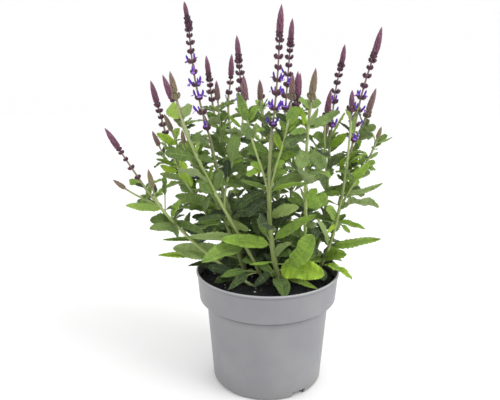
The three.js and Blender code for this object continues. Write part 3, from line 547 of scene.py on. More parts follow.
def pointOn(line, t):
    t = np.asarray(t, dtype=float)[..., None]
    rest = 1 - t
    return rest**3 * line[0] + 3 * rest**2 * t * line[1] + 3 * rest * t**2 * line[2] + t**3 * line[3]


def directionOn(line, t):
    return unit(pointOn(line, min(t + 0.001, 1)) - pointOn(line, max(t - 0.001, 0)))


def placeAtHeight(line, height):
    low, high = 0.0, 1.0
    for _ in range(24):
        middle = (low + high) / 2
        if pointOn(line, middle)[2] < height:
            low = middle
        else:
            high = middle
    return low


def lineLength(line):
    return np.linalg.norm(np.diff(pointOn(line, np.linspace(0, 1, 20)), axis=0), axis=1).sum()


def midrib(leaf, t):
    # points along the leaf's arc, with the direction across the blade and the one it faces
    t = np.asarray(t, dtype=float)
    first = math.radians(leaf["rise"])
    bend = math.radians(leaf["droop"] if abs(leaf["droop"]) >= 1 else 1)
    slope = first - bend * t
    run = (math.sin(first) - np.sin(slope)) / bend * leaf["length"]
    lift = (np.cos(slope) - math.cos(first)) / bend * leaf["length"]
    cx, cy = towards(leaf["heading"])
    point = leaf["root"] + np.stack([run * cx, run * cy, lift], -1)
    along = np.stack([np.cos(slope) * cx, np.cos(slope) * cy, np.sin(slope)], -1)
    level = np.array([-cy, cx, 0.0])
    upright = np.cross(along, level)
    side = level * math.cos(leaf["roll"]) + upright * math.sin(leaf["roll"])
    return point, side, np.cross(along, side)


def rollToLight(light, heading, rise):
    (cx, cy), (flat, up) = towards(heading), towards(rise)
    level = np.array([-cy, cx, 0.0])
    return math.atan2(-np.dot(light, level), np.dot(light, np.cross([flat * cx, flat * cy, up], level)))


def halfWidth(leaf, t, base=blade["basePower"], blunt=1):
    share = np.clip((np.asarray(t, dtype=float) - leaf["stalk"]) / (1 - leaf["stalk"]), 0, 1)
    tip = min(max(1 - leaf["width"] / leaf["length"], blade["tipPower"][0]), blade["tipPower"][1]) * blunt
    peak = (base / (base + tip)) ** base * (tip / (base + tip)) ** tip
    return leaf["width"] / 2 * share**base * (1 - share) ** tip / peak


def leafSamples(leaf):
    steps = math.ceil(leaf["length"] / room["sampleStep"])
    t = np.arange(1, steps + 1) / steps
    point, side, face = midrib(leaf, t)
    points = []
    for i, wide in enumerate(halfWidth(leaf, t)):
        rows = math.ceil(2 * wide / room["sampleStep"])
        w = (2 * np.arange(rows + 1) / rows - 1) * wide if rows else np.zeros(1)
        lift = np.abs(w) * math.sin(math.radians(leaf["fold"]))
        points.append(point[i] + w[:, None] * side[i] + lift[:, None] * face[i])
    return np.concatenate(points)


class Crowd:
    # what a leaf keeps clear of: the stems, the spikes and the leaves placed before it
    def __init__(self):
        self.items = []
        self.centres = np.empty((0, 3))
        self.reaches = np.empty(0)

    def add(self, points, radius, plant, hasRoot, isSpike):
        centre = (points[0] + points[-1]) / 2
        reach = np.linalg.norm(points - centre, axis=1).max() + radius
        self.items.append((points, radius, plant, hasRoot, isSpike))
        self.centres = np.vstack([self.centres, centre])
        self.reaches = np.append(self.reaches, reach)

    def hasRoomFor(self, leaf, plant, gap):
        points = leafSamples(leaf)
        if not clearsPot(points):
            return False
        middle = midrib(leaf, 0.5)[0]
        offRoot = np.linalg.norm(points - leaf["root"], axis=1) > room["rootZone"]
        span = np.linalg.norm(points - middle, axis=1).max()
        near = np.linalg.norm(self.centres - middle, axis=1) <= span + self.reaches + gap
        for index in np.flatnonzero(near):
            others, radius, owner, hasRoot, isSpike = self.items[index]
            own = owner == plant
            share = 1 if not own or isSpike else room["ownShare" if hasRoot else "stemShare"]
            limit = (gap * share + radius) ** 2
            mine = points[offRoot] if own else points
            if own and hasRoot:
                others = others[np.linalg.norm(others - leaf["root"], axis=1) > room["rootZone"]]
            if len(mine) and len(others):
                apart = ((mine[:, None] - others[None]) ** 2).sum(-1)
                if apart.min() < limit:
                    return False
        return True

    def take(self, leaf, plant, gap):
        # the leaf, if there was room for it
        if not self.hasRoomFor(leaf, plant, gap):
            return None
        self.add(leafSamples(leaf), 0, plant, True, False)
        return {**leaf, "plant": plant}


def clearsPot(points):
    r = np.hypot(points[:, 0], points[:, 1])
    z = points[:, 2]
    if ((r < pot["rim"]) & (z < soil["top"] + room["overSoil"])).any():
        return False
    overRim = z > pot["height"] + room["overRim"]
    beside = (r < pot["rim"] - room["insideRim"]) | (r > pot["rim"] + room["outsideRim"])
    return bool((overRim | beside).all())


class Sight:
    # what has to stay in sight from the front
    def __init__(self, points):
        self.spots, self.depths = fromFront(points)
        across, height, reach = np.array(front["openings"], dtype=float).T
        self.openings, _ = fromFront(np.column_stack([across, np.zeros(len(across)), height]))
        self.reaches = reach / -front["at"][1]

    def isHiddenBy(self, leaf):
        spots, depths = fromFront(leafSamples(leaf))
        if (((self.openings[:, None] - spots[None]) ** 2).sum(-1) < self.reaches[:, None] ** 2).sum() > 1:
            return True
        near = ((self.spots[:, None] - spots[None]) ** 2).sum(-1) < front["reach"] ** 2
        before = depths[None] < self.depths[:, None] - front["behind"]
        return (near & before).any(0).sum() > front["allowed"] * len(depths)


def fromFront(points):
    offset = points - np.array(front["at"])
    return offset[:, (0, 2)] / offset[:, 1:2], offset[:, 1]


def settle(leaf, plant, kind, crowd, gap, sight=None):
    # turns and tips a leaf, and at last shortens it, until it has room
    turns, tips, sizes = tries[kind]
    for size, turn, tip in product(sizes, turns, tips):
        tried = {**leaf, "heading": leaf["heading"] + turn, "rise": leaf["rise"] + tip,
                 "length": leaf["length"] * size, "width": leaf["width"] * size}
        placed = None if sight and sight.isHiddenBy(tried) else crowd.take(tried, plant, gap)
        if placed:
            return placed
    return None


def plannedLeaf(line, row, shift=0):
    height, tip, width, droop, stalk, tone = row
    root = pointOn(line, placeAtHeight(line, height))
    toFront = unit(np.array(front["at"]) - np.array(tip))
    chord = np.array(tip) + toFront * shift - root
    half = math.radians(max(abs(droop), 1)) / 2
    heading = math.degrees(math.atan2(chord[1], chord[0]))
    rise = math.degrees(math.atan2(chord[2], math.hypot(chord[0], chord[1]))) + droop / 2
    length = np.linalg.norm(chord) * half / math.sin(half)
    roll = rollToLight(np.array([root[0] / 200, -1, 0.5]), heading, rise - droop / 2)
    return {"root": root, "heading": heading, "rise": rise, "droop": droop, "roll": roll, "length": length,
            "width": width, "stalk": stalk, "fold": blade["plannedFold"], "tone": tone, "set": True}


def settlePlanned(line, row, plant, crowd):
    for shift in front["shifts"]:
        placed = crowd.take(plannedLeaf(line, row, shift), plant, room["leafGap"])
        if placed:
            return placed
    return settle(plannedLeaf(line, row), plant, "planned", crowd, room["leafGap"])


def toneAt(root, draw):
    # leaves inside and low down get little light, so they are given darker tones: partly a deeper green of
    # their own and partly painted shade
    chance = draw()
    if math.hypot(root[0], root[1]) < 62 and root[2] < 262:
        return "deep" if chance < 0.62 else "mid"
    return "deep" if chance < 0.2 else "mid" if chance < 0.6 else "bright" if chance < 0.9 else "gold"


def grownLeaf(root, heading, rise, length, share, habit, draw):
    droop = blend(*habit["droop"], share) + (draw() - 0.5) * habit["droopSpread"]
    outward, forward = habit["light"]
    light = unit([root[0], root[1], 0]) * outward + np.array([0, forward, 1])
    roll = rollToLight(light, heading, rise - droop / 2) + (draw() - 0.5) * habit["rollSpread"]
    width = length * blend(*habit["width"], share) * (0.85 + 0.3 * draw() if habit["inner"] else 1)
    # the lower leaves of a stem get a darker tone than the higher ones: partly their own deeper green and
    # partly painted shade
    tone = toneAt(root, draw) if habit["inner"] else "deep" if share < 0.4 else "mid"
    return {"root": root, "heading": heading, "rise": rise, "droop": droop, "roll": roll, "length": length,
            "width": width, "stalk": blend(*habit["stalk"], share), "fold": habit["fold"], "tone": tone,
            "set": False}


def leafPairs(line, count, seed, *habits):
    # at every joint of a stem a pair of leaves of each habit, a quarter turn on from the last joint
    draw = drawer(seed)
    firstTurn = draw() * 180
    leaves = []
    for k in range(count):
        share = (k + 0.5) / count
        root = pointOn(line, blend(*habits[0]["span"], share))
        for habit, side in product(habits, range(2)):
            heading = firstTurn + k * 90 + side * 180 + (draw() - 0.5) * habit["turnSpread"]
            least, more = habit["sizeSpread"]
            length = blend(*habit["length"], share) * (least + more * draw())
            rise = blend(*habit["rise"], share) + (draw() - 0.5) * habit["riseSpread"]
            leaves.append(grownLeaf(root, heading, rise, length, share, habit, draw))
    return leaves


def spaced(pointAt, length):
    return np.array([pointAt(t) for t in np.linspace(0, 1, math.ceil(length / 4) + 1)])


def alongStem(line, length):
    return spaced(lambda t: pointOn(line, t), length)


def alongSpike(item, length):
    return spaced(lambda t: blend(item["top"], item["tip"], t), length)


def plantOf(name):
    return shoots[name]["on"] if name in shoots else name


def planPlant():
    # the lines of all stems and shoots, and every main leaf where it has room
    lines = {name: stemLine(stem) for name, stem in stems.items()}
    lines.update({name: shootLine(shoot, lines[shoot["on"]]) for name, shoot in shoots.items()})
    crowd = Crowd()
    for name, item in everyStem.items():
        points = alongStem(lines[name], np.linalg.norm(item["top"] - lines[name][0]))
        crowd.add(points, room["shoot" if name in shoots else "stem"], plantOf(name), False, False)
        points = alongSpike(item, np.linalg.norm(item["tip"] - item["top"]))
        crowd.add(points, room["flowers" if item["whorls"] > 2 else "buds"], plantOf(name), False, True)
    found = [settlePlanned(lines[name], row, plantOf(name), crowd)
             for name, rows in plannedLeaves.items() for row in rows]
    for i, (name, item) in enumerate(everyStem.items()):
        habit = ruledShoot if name in shoots else ruled
        found += [settle(leaf, plantOf(name), "ruled", crowd, room["leafGap"])
                  for leaf in leafPairs(lines[name], item["pairs"], i * 7 + 3, habit)]
    return lines, crowd, [leaf for leaf in found if leaf]


def sightOf(lines, leaves):
    # the leaves that are set one by one, every spike and the stems in front
    seen = [leafSamples(leaf) for leaf in leaves if leaf["set"]]
    seen += [alongStem(lines[name], 200) for name in front["shown"]]
    seen += [alongSpike(item, 120) for item in everyStem.values()]
    return Sight(np.concatenate(seen))


# The small inner leaves: pairs on every stem with young ones in their axils, and leaves round its foot.
filling = {"gap": 2.0, "nodeStep": 19, "basal": 46, "basalLength": (24, 44), "basalSpan": (0.03, 0.12)}
inner = {
    "span": (0.05, 0.98), "length": (56, 24), "width": (0.4, 0.34), "stalk": (0.14, 0.14), "rise": (12, 42),
    "droop": (50, 25), "fold": 12, "light": (0.8, -0.4), "inner": True,
    "turnSpread": 30, "sizeSpread": (0.75, 0.4), "riseSpread": 30, "droopSpread": 36, "rollSpread": 0.9,
}
innerShoot = {**inner, "span": (0.25, 0.96), "length": (24, 24)}
axil = {**inner, "length": (24, 13), "rise": (58, 58), "turnSpread": 70, "sizeSpread": (0.7, 0.6)}
basal = {**inner, "stalk": (0.25, 0.25)}


def basalLeaves(lines):
    # short leaves round the feet of the stems, close over the soil
    draw = drawer(405)
    leaves = []
    for k in range(filling["basal"]):
        name = list(stems)[k % len(stems)]
        least, more = filling["basalSpan"]
        root = pointOn(lines[name], least + more * draw())
        length = blend(*filling["basalLength"], draw())
        leaves.append((name, grownLeaf(root, draw() * 360, 5 + 35 * draw(), length, 0.1, basal, draw)))
    return leaves


def fillPlant(lines, crowd, leaves):
    found = [settle(plannedLeaf(lines[name], row), plantOf(name), "planned", crowd, filling["gap"])
             for name, rows in smallLeaves.items() for row in rows]
    sight = sightOf(lines, leaves + [leaf for leaf in found if leaf])
    wanted = basalLeaves(lines)
    for i, (name, line) in enumerate(lines.items()):
        count = max(int(lineLength(line) / filling["nodeStep"]), 2)
        habit = innerShoot if name in shoots else inner
        wanted += [(plantOf(name), leaf) for leaf in leafPairs(line, count, i * 13 + 101, habit, axil)]
    found += [settle(leaf, plant, "filling", crowd, filling["gap"], sight) for plant, leaf in wanted]
    return [leaf for leaf in found if leaf]


# One leaf of each kind is modelled flat, one long along X, and every leaf is a bent copy of one of them.
leafKinds = {
    # rows along the leaf, columns across, rows from one side vein to the next, the edge's teeth out and in
    "broad": {"rows": 36, "columns": 6, "veinRows": 4, "subdivide": 1, "teeth": (1.17, 0.87)},
    "lance": {"rows": 24, "columns": 4, "veinRows": 4, "subdivide": 0, "teeth": (1.11, 0.91)},
    "small": {"rows": 10, "columns": 2, "veinRows": 2, "subdivide": 0, "teeth": (1.1, 0.92)},
}

leafShape = {
    "stalk": 0.18,  # share of the length
    "width": 0.36,
    "stalkWidth": 0.03,
    "stalkHalf": (0.6, 0.8),  # half width of a short and of a long leaf's stalk, in millimetres
    "sweep": 0.06,  # how far the side veins run forward
    "quilt": 0.014,  # how far the blade swells between its veins
    "channel": 0.012,  # how deep the midrib lies
    "thick": 0.012,
    "basePower": (0.32, 0.16),  # of a narrow and of a broad leaf: the smaller, the broader is its base
    "broad": (20, 32),
    "blunt": 0.84,
    "bluntGold": 0.5,  # the old yellow leaves end broader
    # waves of its outline, of its edge and of its face: how large, and how many radians from end to end
    "uneven": 0.09, "unevenRate": (9, 15), "ruffle": (0.06, 0.15), "ruffleRate": (9, 18),
    "crumple": 0.045, "crumpleRate": (13, 22),
    "deepest": 2.6,  # of these waves, in millimetres
    "foldSpread": 22, "drift": 0.09, "toneSpread": 0.16,
}

# how light a leaf is, partly its own green and partly painted light and shade for how much light it gets,
# and how much of its grey bloom it has
tones = {
    "deep": (0.06, 0), "dim": (0.24, 0), "mid": (0.4, 0), "green": (0.5, 0), "bright": (0.62, 0),
    "gold": (0.7, 0), "lime": (0.86, 0), "blue": (0.4, 0.3), "soft": (0.36, 0.2), "pale": (0.5, 0.7),
    "silver": (0.9, 0.75), "olive": (0.78, 0.3),
}


def leafOutline(x):
    # half width of the pattern leaf at x
    flat = {"stalk": leafShape["stalk"], "width": leafShape["width"], "length": 1}
    return max(float(halfWidth(flat, x)), leafShape["stalkWidth"] / 2 if x < 0.5 else 0.003)


def modelLeaf(kind):
    rows, columns, veinRows = (leafKinds[kind][key] for key in ("rows", "columns", "veinRows"))
    leaf = begin("leaf_" + kind, bpy.ops.mesh.primitive_grid_add, x_subdivisions=rows,
                 y_subdivisions=columns, size=1, location=(0.5, 0, 0))
    for row in reversed(range(rows + 1)):
        x = row / rows
        inStalk = x <= leafShape["stalk"]
        near = 0.3 / rows
        if row % veinRows and not inStalk:
            pick(leaf, lambda co: abs(co.x - x) < near and abs(co.y) > 0.01)
            move((0, 0, leafShape["quilt"] * math.sin(math.pi * (row % veinRows) / veinRows)))
        tooth = 1 if inStalk else leafKinds[kind]["teeth"][0 if row % 2 else 1]
        pick(leaf, lambda co: abs(co.x - x) < near)
        resize((1, 2 * leafOutline(x) * tooth, 1), (x, 0, 0))
        forward = 0 if inStalk else leafShape["sweep"] * math.sin(math.pi * x) ** 0.7
        edge = leafOutline(x) * tooth / (columns / 2)
        for column in range(columns // 2 if forward else 0):
            # each column outwards goes one step further forward
            pick(leaf, lambda co: -1e-4 < co.x - x < near + forward and abs(co.y) > edge * (column + 0.5))
            move((forward / (columns / 2), 0, 0))
    pick(leaf, lambda co: abs(co.y) < 1e-4)
    move((0, 0, -leafShape["channel"]))
    finishModifier(leaf, "SOLIDIFY", thickness=leafShape["thick"], offset=-1)
    if leafKinds[kind]["subdivide"]:
        finishModifier(leaf, "SUBSURF", levels=1, render_levels=1)
    endEdit(leaf)
    under = np.array([vertex.normal.z < -0.15 for vertex in leaf.data.vertices], dtype=float)
    for name, value in (("under", under), ("leaf", 1.0), ("pairs", rows / veinRows)):
        fillAttribute(leaf, name, value)
    return leaf


def bendLeaf(pattern, leaf, draw):
    # lays the pattern leaf along a planned leaf's arc, with a twist and waves of its own
    x, y, z = corners(pattern).T
    joint = leafShape["stalk"]
    inBlade = np.clip((x - joint) / (1 - joint), 0, 1)
    onBlade = leaf["stalk"] + (x - joint) / (1 - joint) * (1 - leaf["stalk"])
    t = np.clip(np.where(x < joint, x / joint * leaf["stalk"], onBlade), 0, 1)
    point, side, face = midrib(leaf, t)
    share = y / np.array([leafOutline(value) for value in np.clip(x, 0, 1)])
    onOneSide = share > 0
    first, last = leafShape["broad"]
    base = blend(*leafShape["basePower"], min(max((leaf["width"] - first) / (last - first), 0), 1))
    blunt = leafShape["bluntGold" if leaf["tone"] == "gold" else "blunt"]
    stalkHalf = leafShape["stalkHalf"][1 if leaf["length"] > 40 else 0]
    wide = np.maximum(halfWidth(leaf, t, base, blunt), np.where(x < 0.5, stalkHalf, 0.15))
    uneven = np.sin(t * blend(*leafShape["unevenRate"], draw()) + draw() * 6.3
                    + onOneSide * blend(1, 3, draw()))
    across = share * wide * (1 + leafShape["uneven"] * uneven * np.sin(math.pi * inBlade))
    fold = math.radians(leaf["fold"] + (draw() - 0.4) * leafShape["foldSpread"])
    fold = fold * np.clip((x - joint) * 8, 0, 1)
    free = 0.4 if leaf["set"] else 1.0
    twist = (draw() - 0.5) * free * inBlade
    wave = leaf["width"] * blend(*leafShape["ruffle"], draw()) * np.abs(share) ** 2
    wave = wave * np.sin(t * blend(*leafShape["ruffleRate"], draw()) + draw() * 6.3
                         + onOneSide * blend(0.5, 2.5, draw()))
    dents = np.sin(t * blend(*leafShape["crumpleRate"], draw()) + share * 2 + draw() * 6.3)
    dents = dents * np.cos(share * blend(2, 4, draw()) + t * 6)
    wave = wave + leaf["width"] * leafShape["crumple"] * dents
    wave = np.clip(wave, -leafShape["deepest"], leafShape["deepest"]) * np.sin(math.pi * inBlade)
    drift = (draw() - 0.5) * leafShape["drift"] * free * leaf["length"] * np.sin(math.pi * inBlade)
    level = across * np.cos(fold)
    raised = np.abs(across) * np.sin(fold) + wave + z * max(leaf["length"], 38)
    bent = point + (level * np.cos(twist) - raised * np.sin(twist) + drift)[:, None] * side
    bent = bent + (level * np.sin(twist) + raised * np.cos(twist))[:, None] * face
    return bent * mm


def makeLeaf(patterns, leaf, seed):
    draw = drawer(seed)
    pattern = patterns["broad" if leaf["length"] > 56 and leaf["width"] > 14 else "lance"]
    bent = bendLeaf(pattern, leaf, draw)
    tone, bloom = tones[leaf["tone"]]
    tone = min(max(tone + (draw() - 0.5) * leafShape["toneSpread"], 0), 1)
    return copyPiece(pattern, bent, tone=tone, bloom=bloom)


stalks = {
    # at a stem's foot and under its spike
    "radius": {"main": (2.4, 1.6), "shoot": (1.7, 1.2), "centre": (3.6, 2.7), "left_tall": (3.7, 1.9)},
    "station": 4,  # a ring of corners every so many millimetres
    "node": 0.22,  # how much a stem swells where leaves leave it
    "nodeLength": 2.6,
    "intoSoil": 11,
    "squareness": 0.55,  # handle length of the section's corners
    "samples": 80,  # places along a stem that its corners take their colour from
}


def stemProfile():
    # a salvia's stem is square with rounded edges
    choose()
    bpy.ops.curve.primitive_bezier_circle_add(radius=mm)
    profile = bpy.context.object
    profile.name = "stemProfile"
    profile.data.resolution_u = 3
    for point in profile.data.splines[0].bezier_points:
        for handle in ("handle_left", "handle_right"):
            setattr(point, handle + "_type", "FREE")
            setattr(point, handle, point.co + (getattr(point, handle) - point.co) * stalks["squareness"])
    return profile


def sweepLine(name, line, radii, profile, nodes=()):
    # a tube with the given section along a cubic line, its radius easing from radii[0] to radii[1]
    choose()
    bpy.ops.curve.primitive_bezier_curve_add()
    tube = bpy.context.object
    tube.name = name
    shape = tube.data
    shape.dimensions = "3D"
    foot, rise, arrive, end = line
    first, last = shape.splines[0].bezier_points
    for point in (first, last):
        point.handle_left_type = point.handle_right_type = "FREE"
    first.co, first.handle_left, first.handle_right = foot * mm, (2 * foot - rise) * mm, rise * mm
    last.co, last.handle_left, last.handle_right = end * mm, arrive * mm, (2 * end - arrive) * mm
    bpy.ops.object.mode_set(mode="EDIT")
    bpy.ops.curve.select_all(action="SELECT")
    bpy.ops.curve.subdivide(number_cuts=max(int(lineLength(line) / stalks["station"]), 2))
    bpy.ops.object.mode_set(mode="OBJECT")
    points = shape.splines[0].bezier_points
    for i, point in enumerate(points):
        swell = 1.0
        for node in nodes:
            off = np.linalg.norm(np.array(point.co) / mm - node) / stalks["nodeLength"]
            swell = max(swell, 1 + stalks["node"] * math.exp(-off * off))
        point.radius = blend(*radii, i / (len(points) - 1)) * swell
    shape.bevel_mode = "OBJECT"
    shape.bevel_object = profile
    shape.use_fill_caps = True
    shape.resolution_u = 1
    bpy.ops.object.convert(target="MESH")
    tube = endEdit(bpy.context.object, 50)
    samples = pointOn(line, np.linspace(0, 1, stalks["samples"])) * mm
    nearest = ((corners(tube)[:, None] - samples[None]) ** 2).sum(-1).argmin(1)
    fillAttribute(tube, "along", nearest / (stalks["samples"] - 1))
    return tube


def modelStem(name, line, profile, nodes):
    if name in shoots:
        return sweepLine("stem_part_" + name, line, stalks["radius"]["shoot"], profile, nodes)
    radii = stalks["radius"].get(name, stalks["radius"]["main"])
    stem = sweepLine("stem_part_" + name, line, radii, profile, nodes)
    start = line[0]
    root, over = start + unit(start - line[1]) * stalks["intoSoil"], start + unit(line[1] - start)
    foot = np.array([root, blend(root, start, 0.3), blend(root, start, 0.7), over])
    below = sweepLine("stem_foot_" + name, foot, (radii[0] * 1.1, radii[0]), profile)
    fillAttribute(below, "along", 0.0)
    return joinPieces("stem_part_" + name, [stem, below])


def dressStem(name, lines, leaves, patterns, profile):
    # a main stem with its side shoots and all its leaves, as one piece
    own = [leaf for leaf in leaves if leaf["plant"] == name]
    nodes = np.array([leaf["root"] for leaf in own])
    family = [name] + [shoot for shoot in shoots if shoots[shoot]["on"] == name]
    parts = [modelStem(member, lines[member], profile, nodes) for member in family]
    parts += [makeLeaf(patterns, leaf, i * 17 + len(name)) for i, leaf in enumerate(own)]
    return joinPieces("leafyStem_" + name, parts)


spikeShape = {
    "neck": 3.6, "topSize": 0.78, "firstShare": 4, "shareStep": 1.7, "whorlRoom": 7,
    "girth": 0.13,  # a bud cone's radius against its length
    "gap": 0.35,  # between the stem and the spike on it
    "line": (1.5, 0.9),  # radius at the foot and under the tip
    "budStep": 2.5,
    # how far a spike bows to the right, for those that aren't straight
    "bow": {"left_tall": -5.0, "right_tall": -4.0, "right_back": -3.0, "centre": 1.6, "back_mid": 1.2},
    "bowTo": 0.84,  # the straight rest is its tip
    # how high the lowest whorl sits: where it is known, on the spikes of many whorls and on the others
    "first": {"left_tall": 13.5}, "firstOfMany": 6.5, "firstOfFew": 1.0, "many": 5,
    "whorlSize": {"far_left": 0.76, "left_back": 0.88},
    "perSide": (-46, 0, 46),  # headings of the calyces of one side
    "slim": (1.75, 0.085),  # small bud cones are thicker: radius at no length, and for every millimetre
    # the youngest whorls: how far over the foot of the plan's bud cone they sit, and their size
    "young": {"few": ((-3.2, 0.66),), "many": ((-1.4, 0.76), (2.4, 0.64)),
              "most": ((-1.2, 0.84), (2.2, 0.76), (5.4, 0.7), (8.6, 0.63), (11.8, 0.55))},
    "knobbly": {"left_tall": "most", "right_tall": "many", "centre": "many", "centre_back": "many",
                "right_back": "many", "left_front_inner": "many", "back_left": "many"},
    # how far the younger spikes are still green
    "green": {"right_front": 0.6, "left_front": 0.55, "right_tall_out": 0.3, "centre_right": 0.3,
              "left_back_near": 0.6, "left_back_out": 0.3, "far_left_near": 0.8, "far_left_low": 0.6,
              "right_tall_low": 0.7, "centre_left": 0.2, "back_left_near": 0.3, "back_right_out": 0.5,
              "left_inner_low": 0.6, "centre_back_left": 0.4},
}

calyxShape = {
    "sides": 8, "start": 0.36,
    "rings": ((0.14, 0.62), (0.36, 0.98), (0.62, 1.04), (0.84, 0.78), (1.0, 0.4)),  # place along, girth
    "lip": (0.14, 0, 0.06), "mouth": (-0.1, 0, 0), "rib": 0.86,
    "length": 8.7, "girth": 2.15, "rise": 6, "bend": -78, "rootRing": 0.7,
    "bract": (5.2, 7.0),  # its length and girth
}


def modelCalyx():
    # a ribbed bell with a pointed upper lip, one long along X, which the whorl bends into a hook
    calyx = begin("calyx", bpy.ops.mesh.primitive_circle_add, vertices=calyxShape["sides"],
                  radius=calyxShape["start"], fill_type="NGON", rotation=(0, math.radians(90), 0))
    drawAlong(calyxShape["start"], calyxShape["rings"])
    pick(calyx, lambda co: co.x > 0.99 and co.z > 0.2)
    move(calyxShape["lip"])
    pick(calyx, lambda co: co.x > 0.95)
    extrude(calyxShape["mouth"])
    resize((1, 0.5, 0.5), (1, 0, 0))
    bpy.ops.mesh.merge(type="CENTER")
    for rib in range(0, calyxShape["sides"], 2):
        heading = rib * math.tau / calyxShape["sides"]
        pick(calyx, lambda co: 0.2 < co.x < 0.9 and co.y * math.cos(heading) + co.z * math.sin(heading)
             > 0.98 * math.hypot(co.y, co.z) > 0.3)
        resize((1, calyxShape["rib"], calyxShape["rib"]), (0, 0, 0))
    leaveEdit()
    return endEdit(calyx, 60)


def modelBud():
    # a pointed scale, one long along X
    bud = begin("bud", bpy.ops.mesh.primitive_uv_sphere_add, segments=6, ring_count=5, radius=0.5,
                rotation=(0, math.radians(90), 0), location=(0.5, 0, 0))
    pick(bud, lambda co: co.x > 0.95)
    move((0.12, 0, 0))
    pick(bud, lambda co: co.x < 0.4)
    resize((1, 0.8, 0.8), (0, 0, 0))
    return endEdit(bud)


def alongArc(pattern, length, girth, heading, rise, bend, root):
    # the pattern, one long along X, bent along an arc that leaves root with the given heading and rise
    x, y, z = corners(pattern).T
    point, side, face = midrib({"root": np.array(root), "heading": heading, "rise": rise, "droop": bend,
                                "roll": 0, "length": length}, x)
    return point + (y * girth)[:, None] * side + (z * girth)[:, None] * face


def modelWhorl(calyx, leaf):
    # two opposite groups of three calyces, each group over a small bract; its axis is Z
    draw = drawer(71)
    parts = []
    for side in (0, 180):
        for spread in spikeShape["perSide"]:
            length = calyxShape["length"] * (0.9 + 0.16 * draw()) * (0.9 if spread else 1)
            rise = calyxShape["rise"] + (draw() - 0.5) * 14 + (6 if spread else 0)
            heading = side + spread * (0.9 + 0.3 * draw())
            cx, cy = towards(heading)
            places = alongArc(calyx, length, calyxShape["girth"], heading, rise, calyxShape["bend"],
                              (calyxShape["rootRing"] * cx, calyxShape["rootRing"] * cy, 0.3 * draw()))
            parts.append(copyPiece(calyx, places, tone=0.05 + 0.2 * draw()))
        places = alongArc(leaf, *calyxShape["bract"], side, -4, 20, (0.8 * towards(side)[0], 0, -0.6))
        parts.append(copyPiece(leaf, places, tone=0.3))
    return joinPieces("whorl", parts)


def modelBudRing(bud):
    # three raised buds and three sunk ones round the axis, one wide and one high
    parts = []
    for k in range(6):
        (cx, cy), raised = towards(k * 60), k % 2
        places = alongArc(bud, 1.0, 0.62, k * 60, 38, -48, (0.30 * cx, 0.30 * cy, 0.12 * raised))
        # the raised buds get a lighter tone, painted light, and the sunk ones a darker tone, painted shade
        parts.append(copyPiece(bud, places, tone=0.5 + 0.12 * raised))
    return joinPieces("budRing", parts)


def coneRadius(cone, share):
    # blunt at its foot, tapering to a point
    base, slope = spikeShape["slim"]
    radius = max(spikeShape["girth"] * cone, base + slope * cone)
    return radius * min(1, 0.8 + share * 2.5) * (1 - share ** 3.2)


def whorlTurn(rank):
    return math.radians(rank * 90 + 90 + 10 * math.sin(rank * 2.3))


def spikeFrame(item):
    # where a spike stands, the three directions of its own frame, and its length
    along = unit(item["tip"] - item["top"])
    across = unit(np.cross(along, (1, 0, 0)))
    foot = item["top"] + along * spikeShape["gap"]
    return foot, np.array([unit(np.cross(along, across)), across, along]), np.linalg.norm(item["tip"] - foot)


def bowSpike(name, item, piece):
    # bends a finished spike, or the flowers on it, to its side
    foot, frameAxes, length = spikeFrame(item)
    places = corners(piece)
    share = np.clip((places / mm - foot) @ frameAxes[2] / length / spikeShape["bowTo"], 0, 1)
    places[:, 0] += spikeShape["bow"].get(name, 0) * mm * np.sin(math.pi * share)
    piece.data.vertices.foreach_set("co", places.ravel())
    return piece


def whorlPlaces(name, item, length):
    # the bud cone's length, and how high each whorl sits with its size
    count = item["whorls"]
    cone = min(item["cone"], length - (spikeShape["whorlRoom"] if count else 2))
    shares = [spikeShape["firstShare"] + spikeShape["shareStep"] * (count - j) for j in range(count)]
    usual = spikeShape["firstOfMany" if count > spikeShape["many"] else "firstOfFew"]
    first = spikeShape["first"].get(name, usual)
    size = spikeShape["whorlSize"].get(name, 1)
    at, places = first, []
    for rank, share in enumerate(shares):
        places.append((at, size * blend(1, spikeShape["topSize"], rank / max(count - 1, 1))))
        at += share / sum(shares) * (length - cone - first)
    return cone, places


def dressSpike(name, item, patterns, profile, seed):
    # the bare line, its whorls and the bud tip of one spike, as one piece
    draw = drawer(seed)
    foot, frameAxes, length = spikeFrame(item)
    cone, whorls = whorlPlaces(name, item, length)
    green = spikeShape["green"].get(name, 0)
    bare = frameAxes[2] * (length - cone * 0.3)
    rachis = np.array([foot + bare * share for share in (0, 1 / 3, 2 / 3, 1)])
    parts = [sweepLine("rachis", rachis, spikeShape["line"], profile)]
    fillAttribute(parts[0], "bare", 1.0)
    fillAttribute(parts[0], "green", green)

    def addPart(pattern, local, angle, at, height):
        places = (foot + (turned(local, angle) + (0, 0, at)) @ frameAxes) * mm
        parts.append(copyPiece(patterns[pattern], places, green=green, height=height))

    if len(whorls) > 1:
        young = spikeShape["young"][spikeShape["knobbly"].get(name, "few")]
        whorls = whorls + [(length - cone + over, size) for over, size in young]
        cone -= max(young[-1][0] + 1.8, 0)
    for rank, (at, size) in enumerate(whorls):
        addPart("whorl", corners(patterns["whorl"]) * size, whorlTurn(rank), at, rank / 24)
    ring = corners(patterns["budRing"])
    ringReach = np.hypot(ring[:, 0], ring[:, 1]).max()
    rings = max(round(cone / spikeShape["budStep"]), 4)
    for i in range(rings):
        share = i / rings
        wide = coneRadius(cone, share + 0.3 / rings), coneRadius(cone, min(share + 1.7 / rings, 0.97))
        high = min(cone / rings * 2.1, (cone - share * cone) * 0.98)
        girth = blend(*wide, np.clip(ring[:, 2], 0, 1)) / ringReach
        local = np.column_stack([ring[:, :2] * girth[:, None], ring[:, 2] * high])
        angle = math.radians(i * 31 + (draw() - 0.5) * 14)
        addPart("budRing", local, angle, length - cone + share * cone, 0.5 + share / 2)
    return bowSpike(name, item, joinPieces("flowerSpike_" + name, parts))


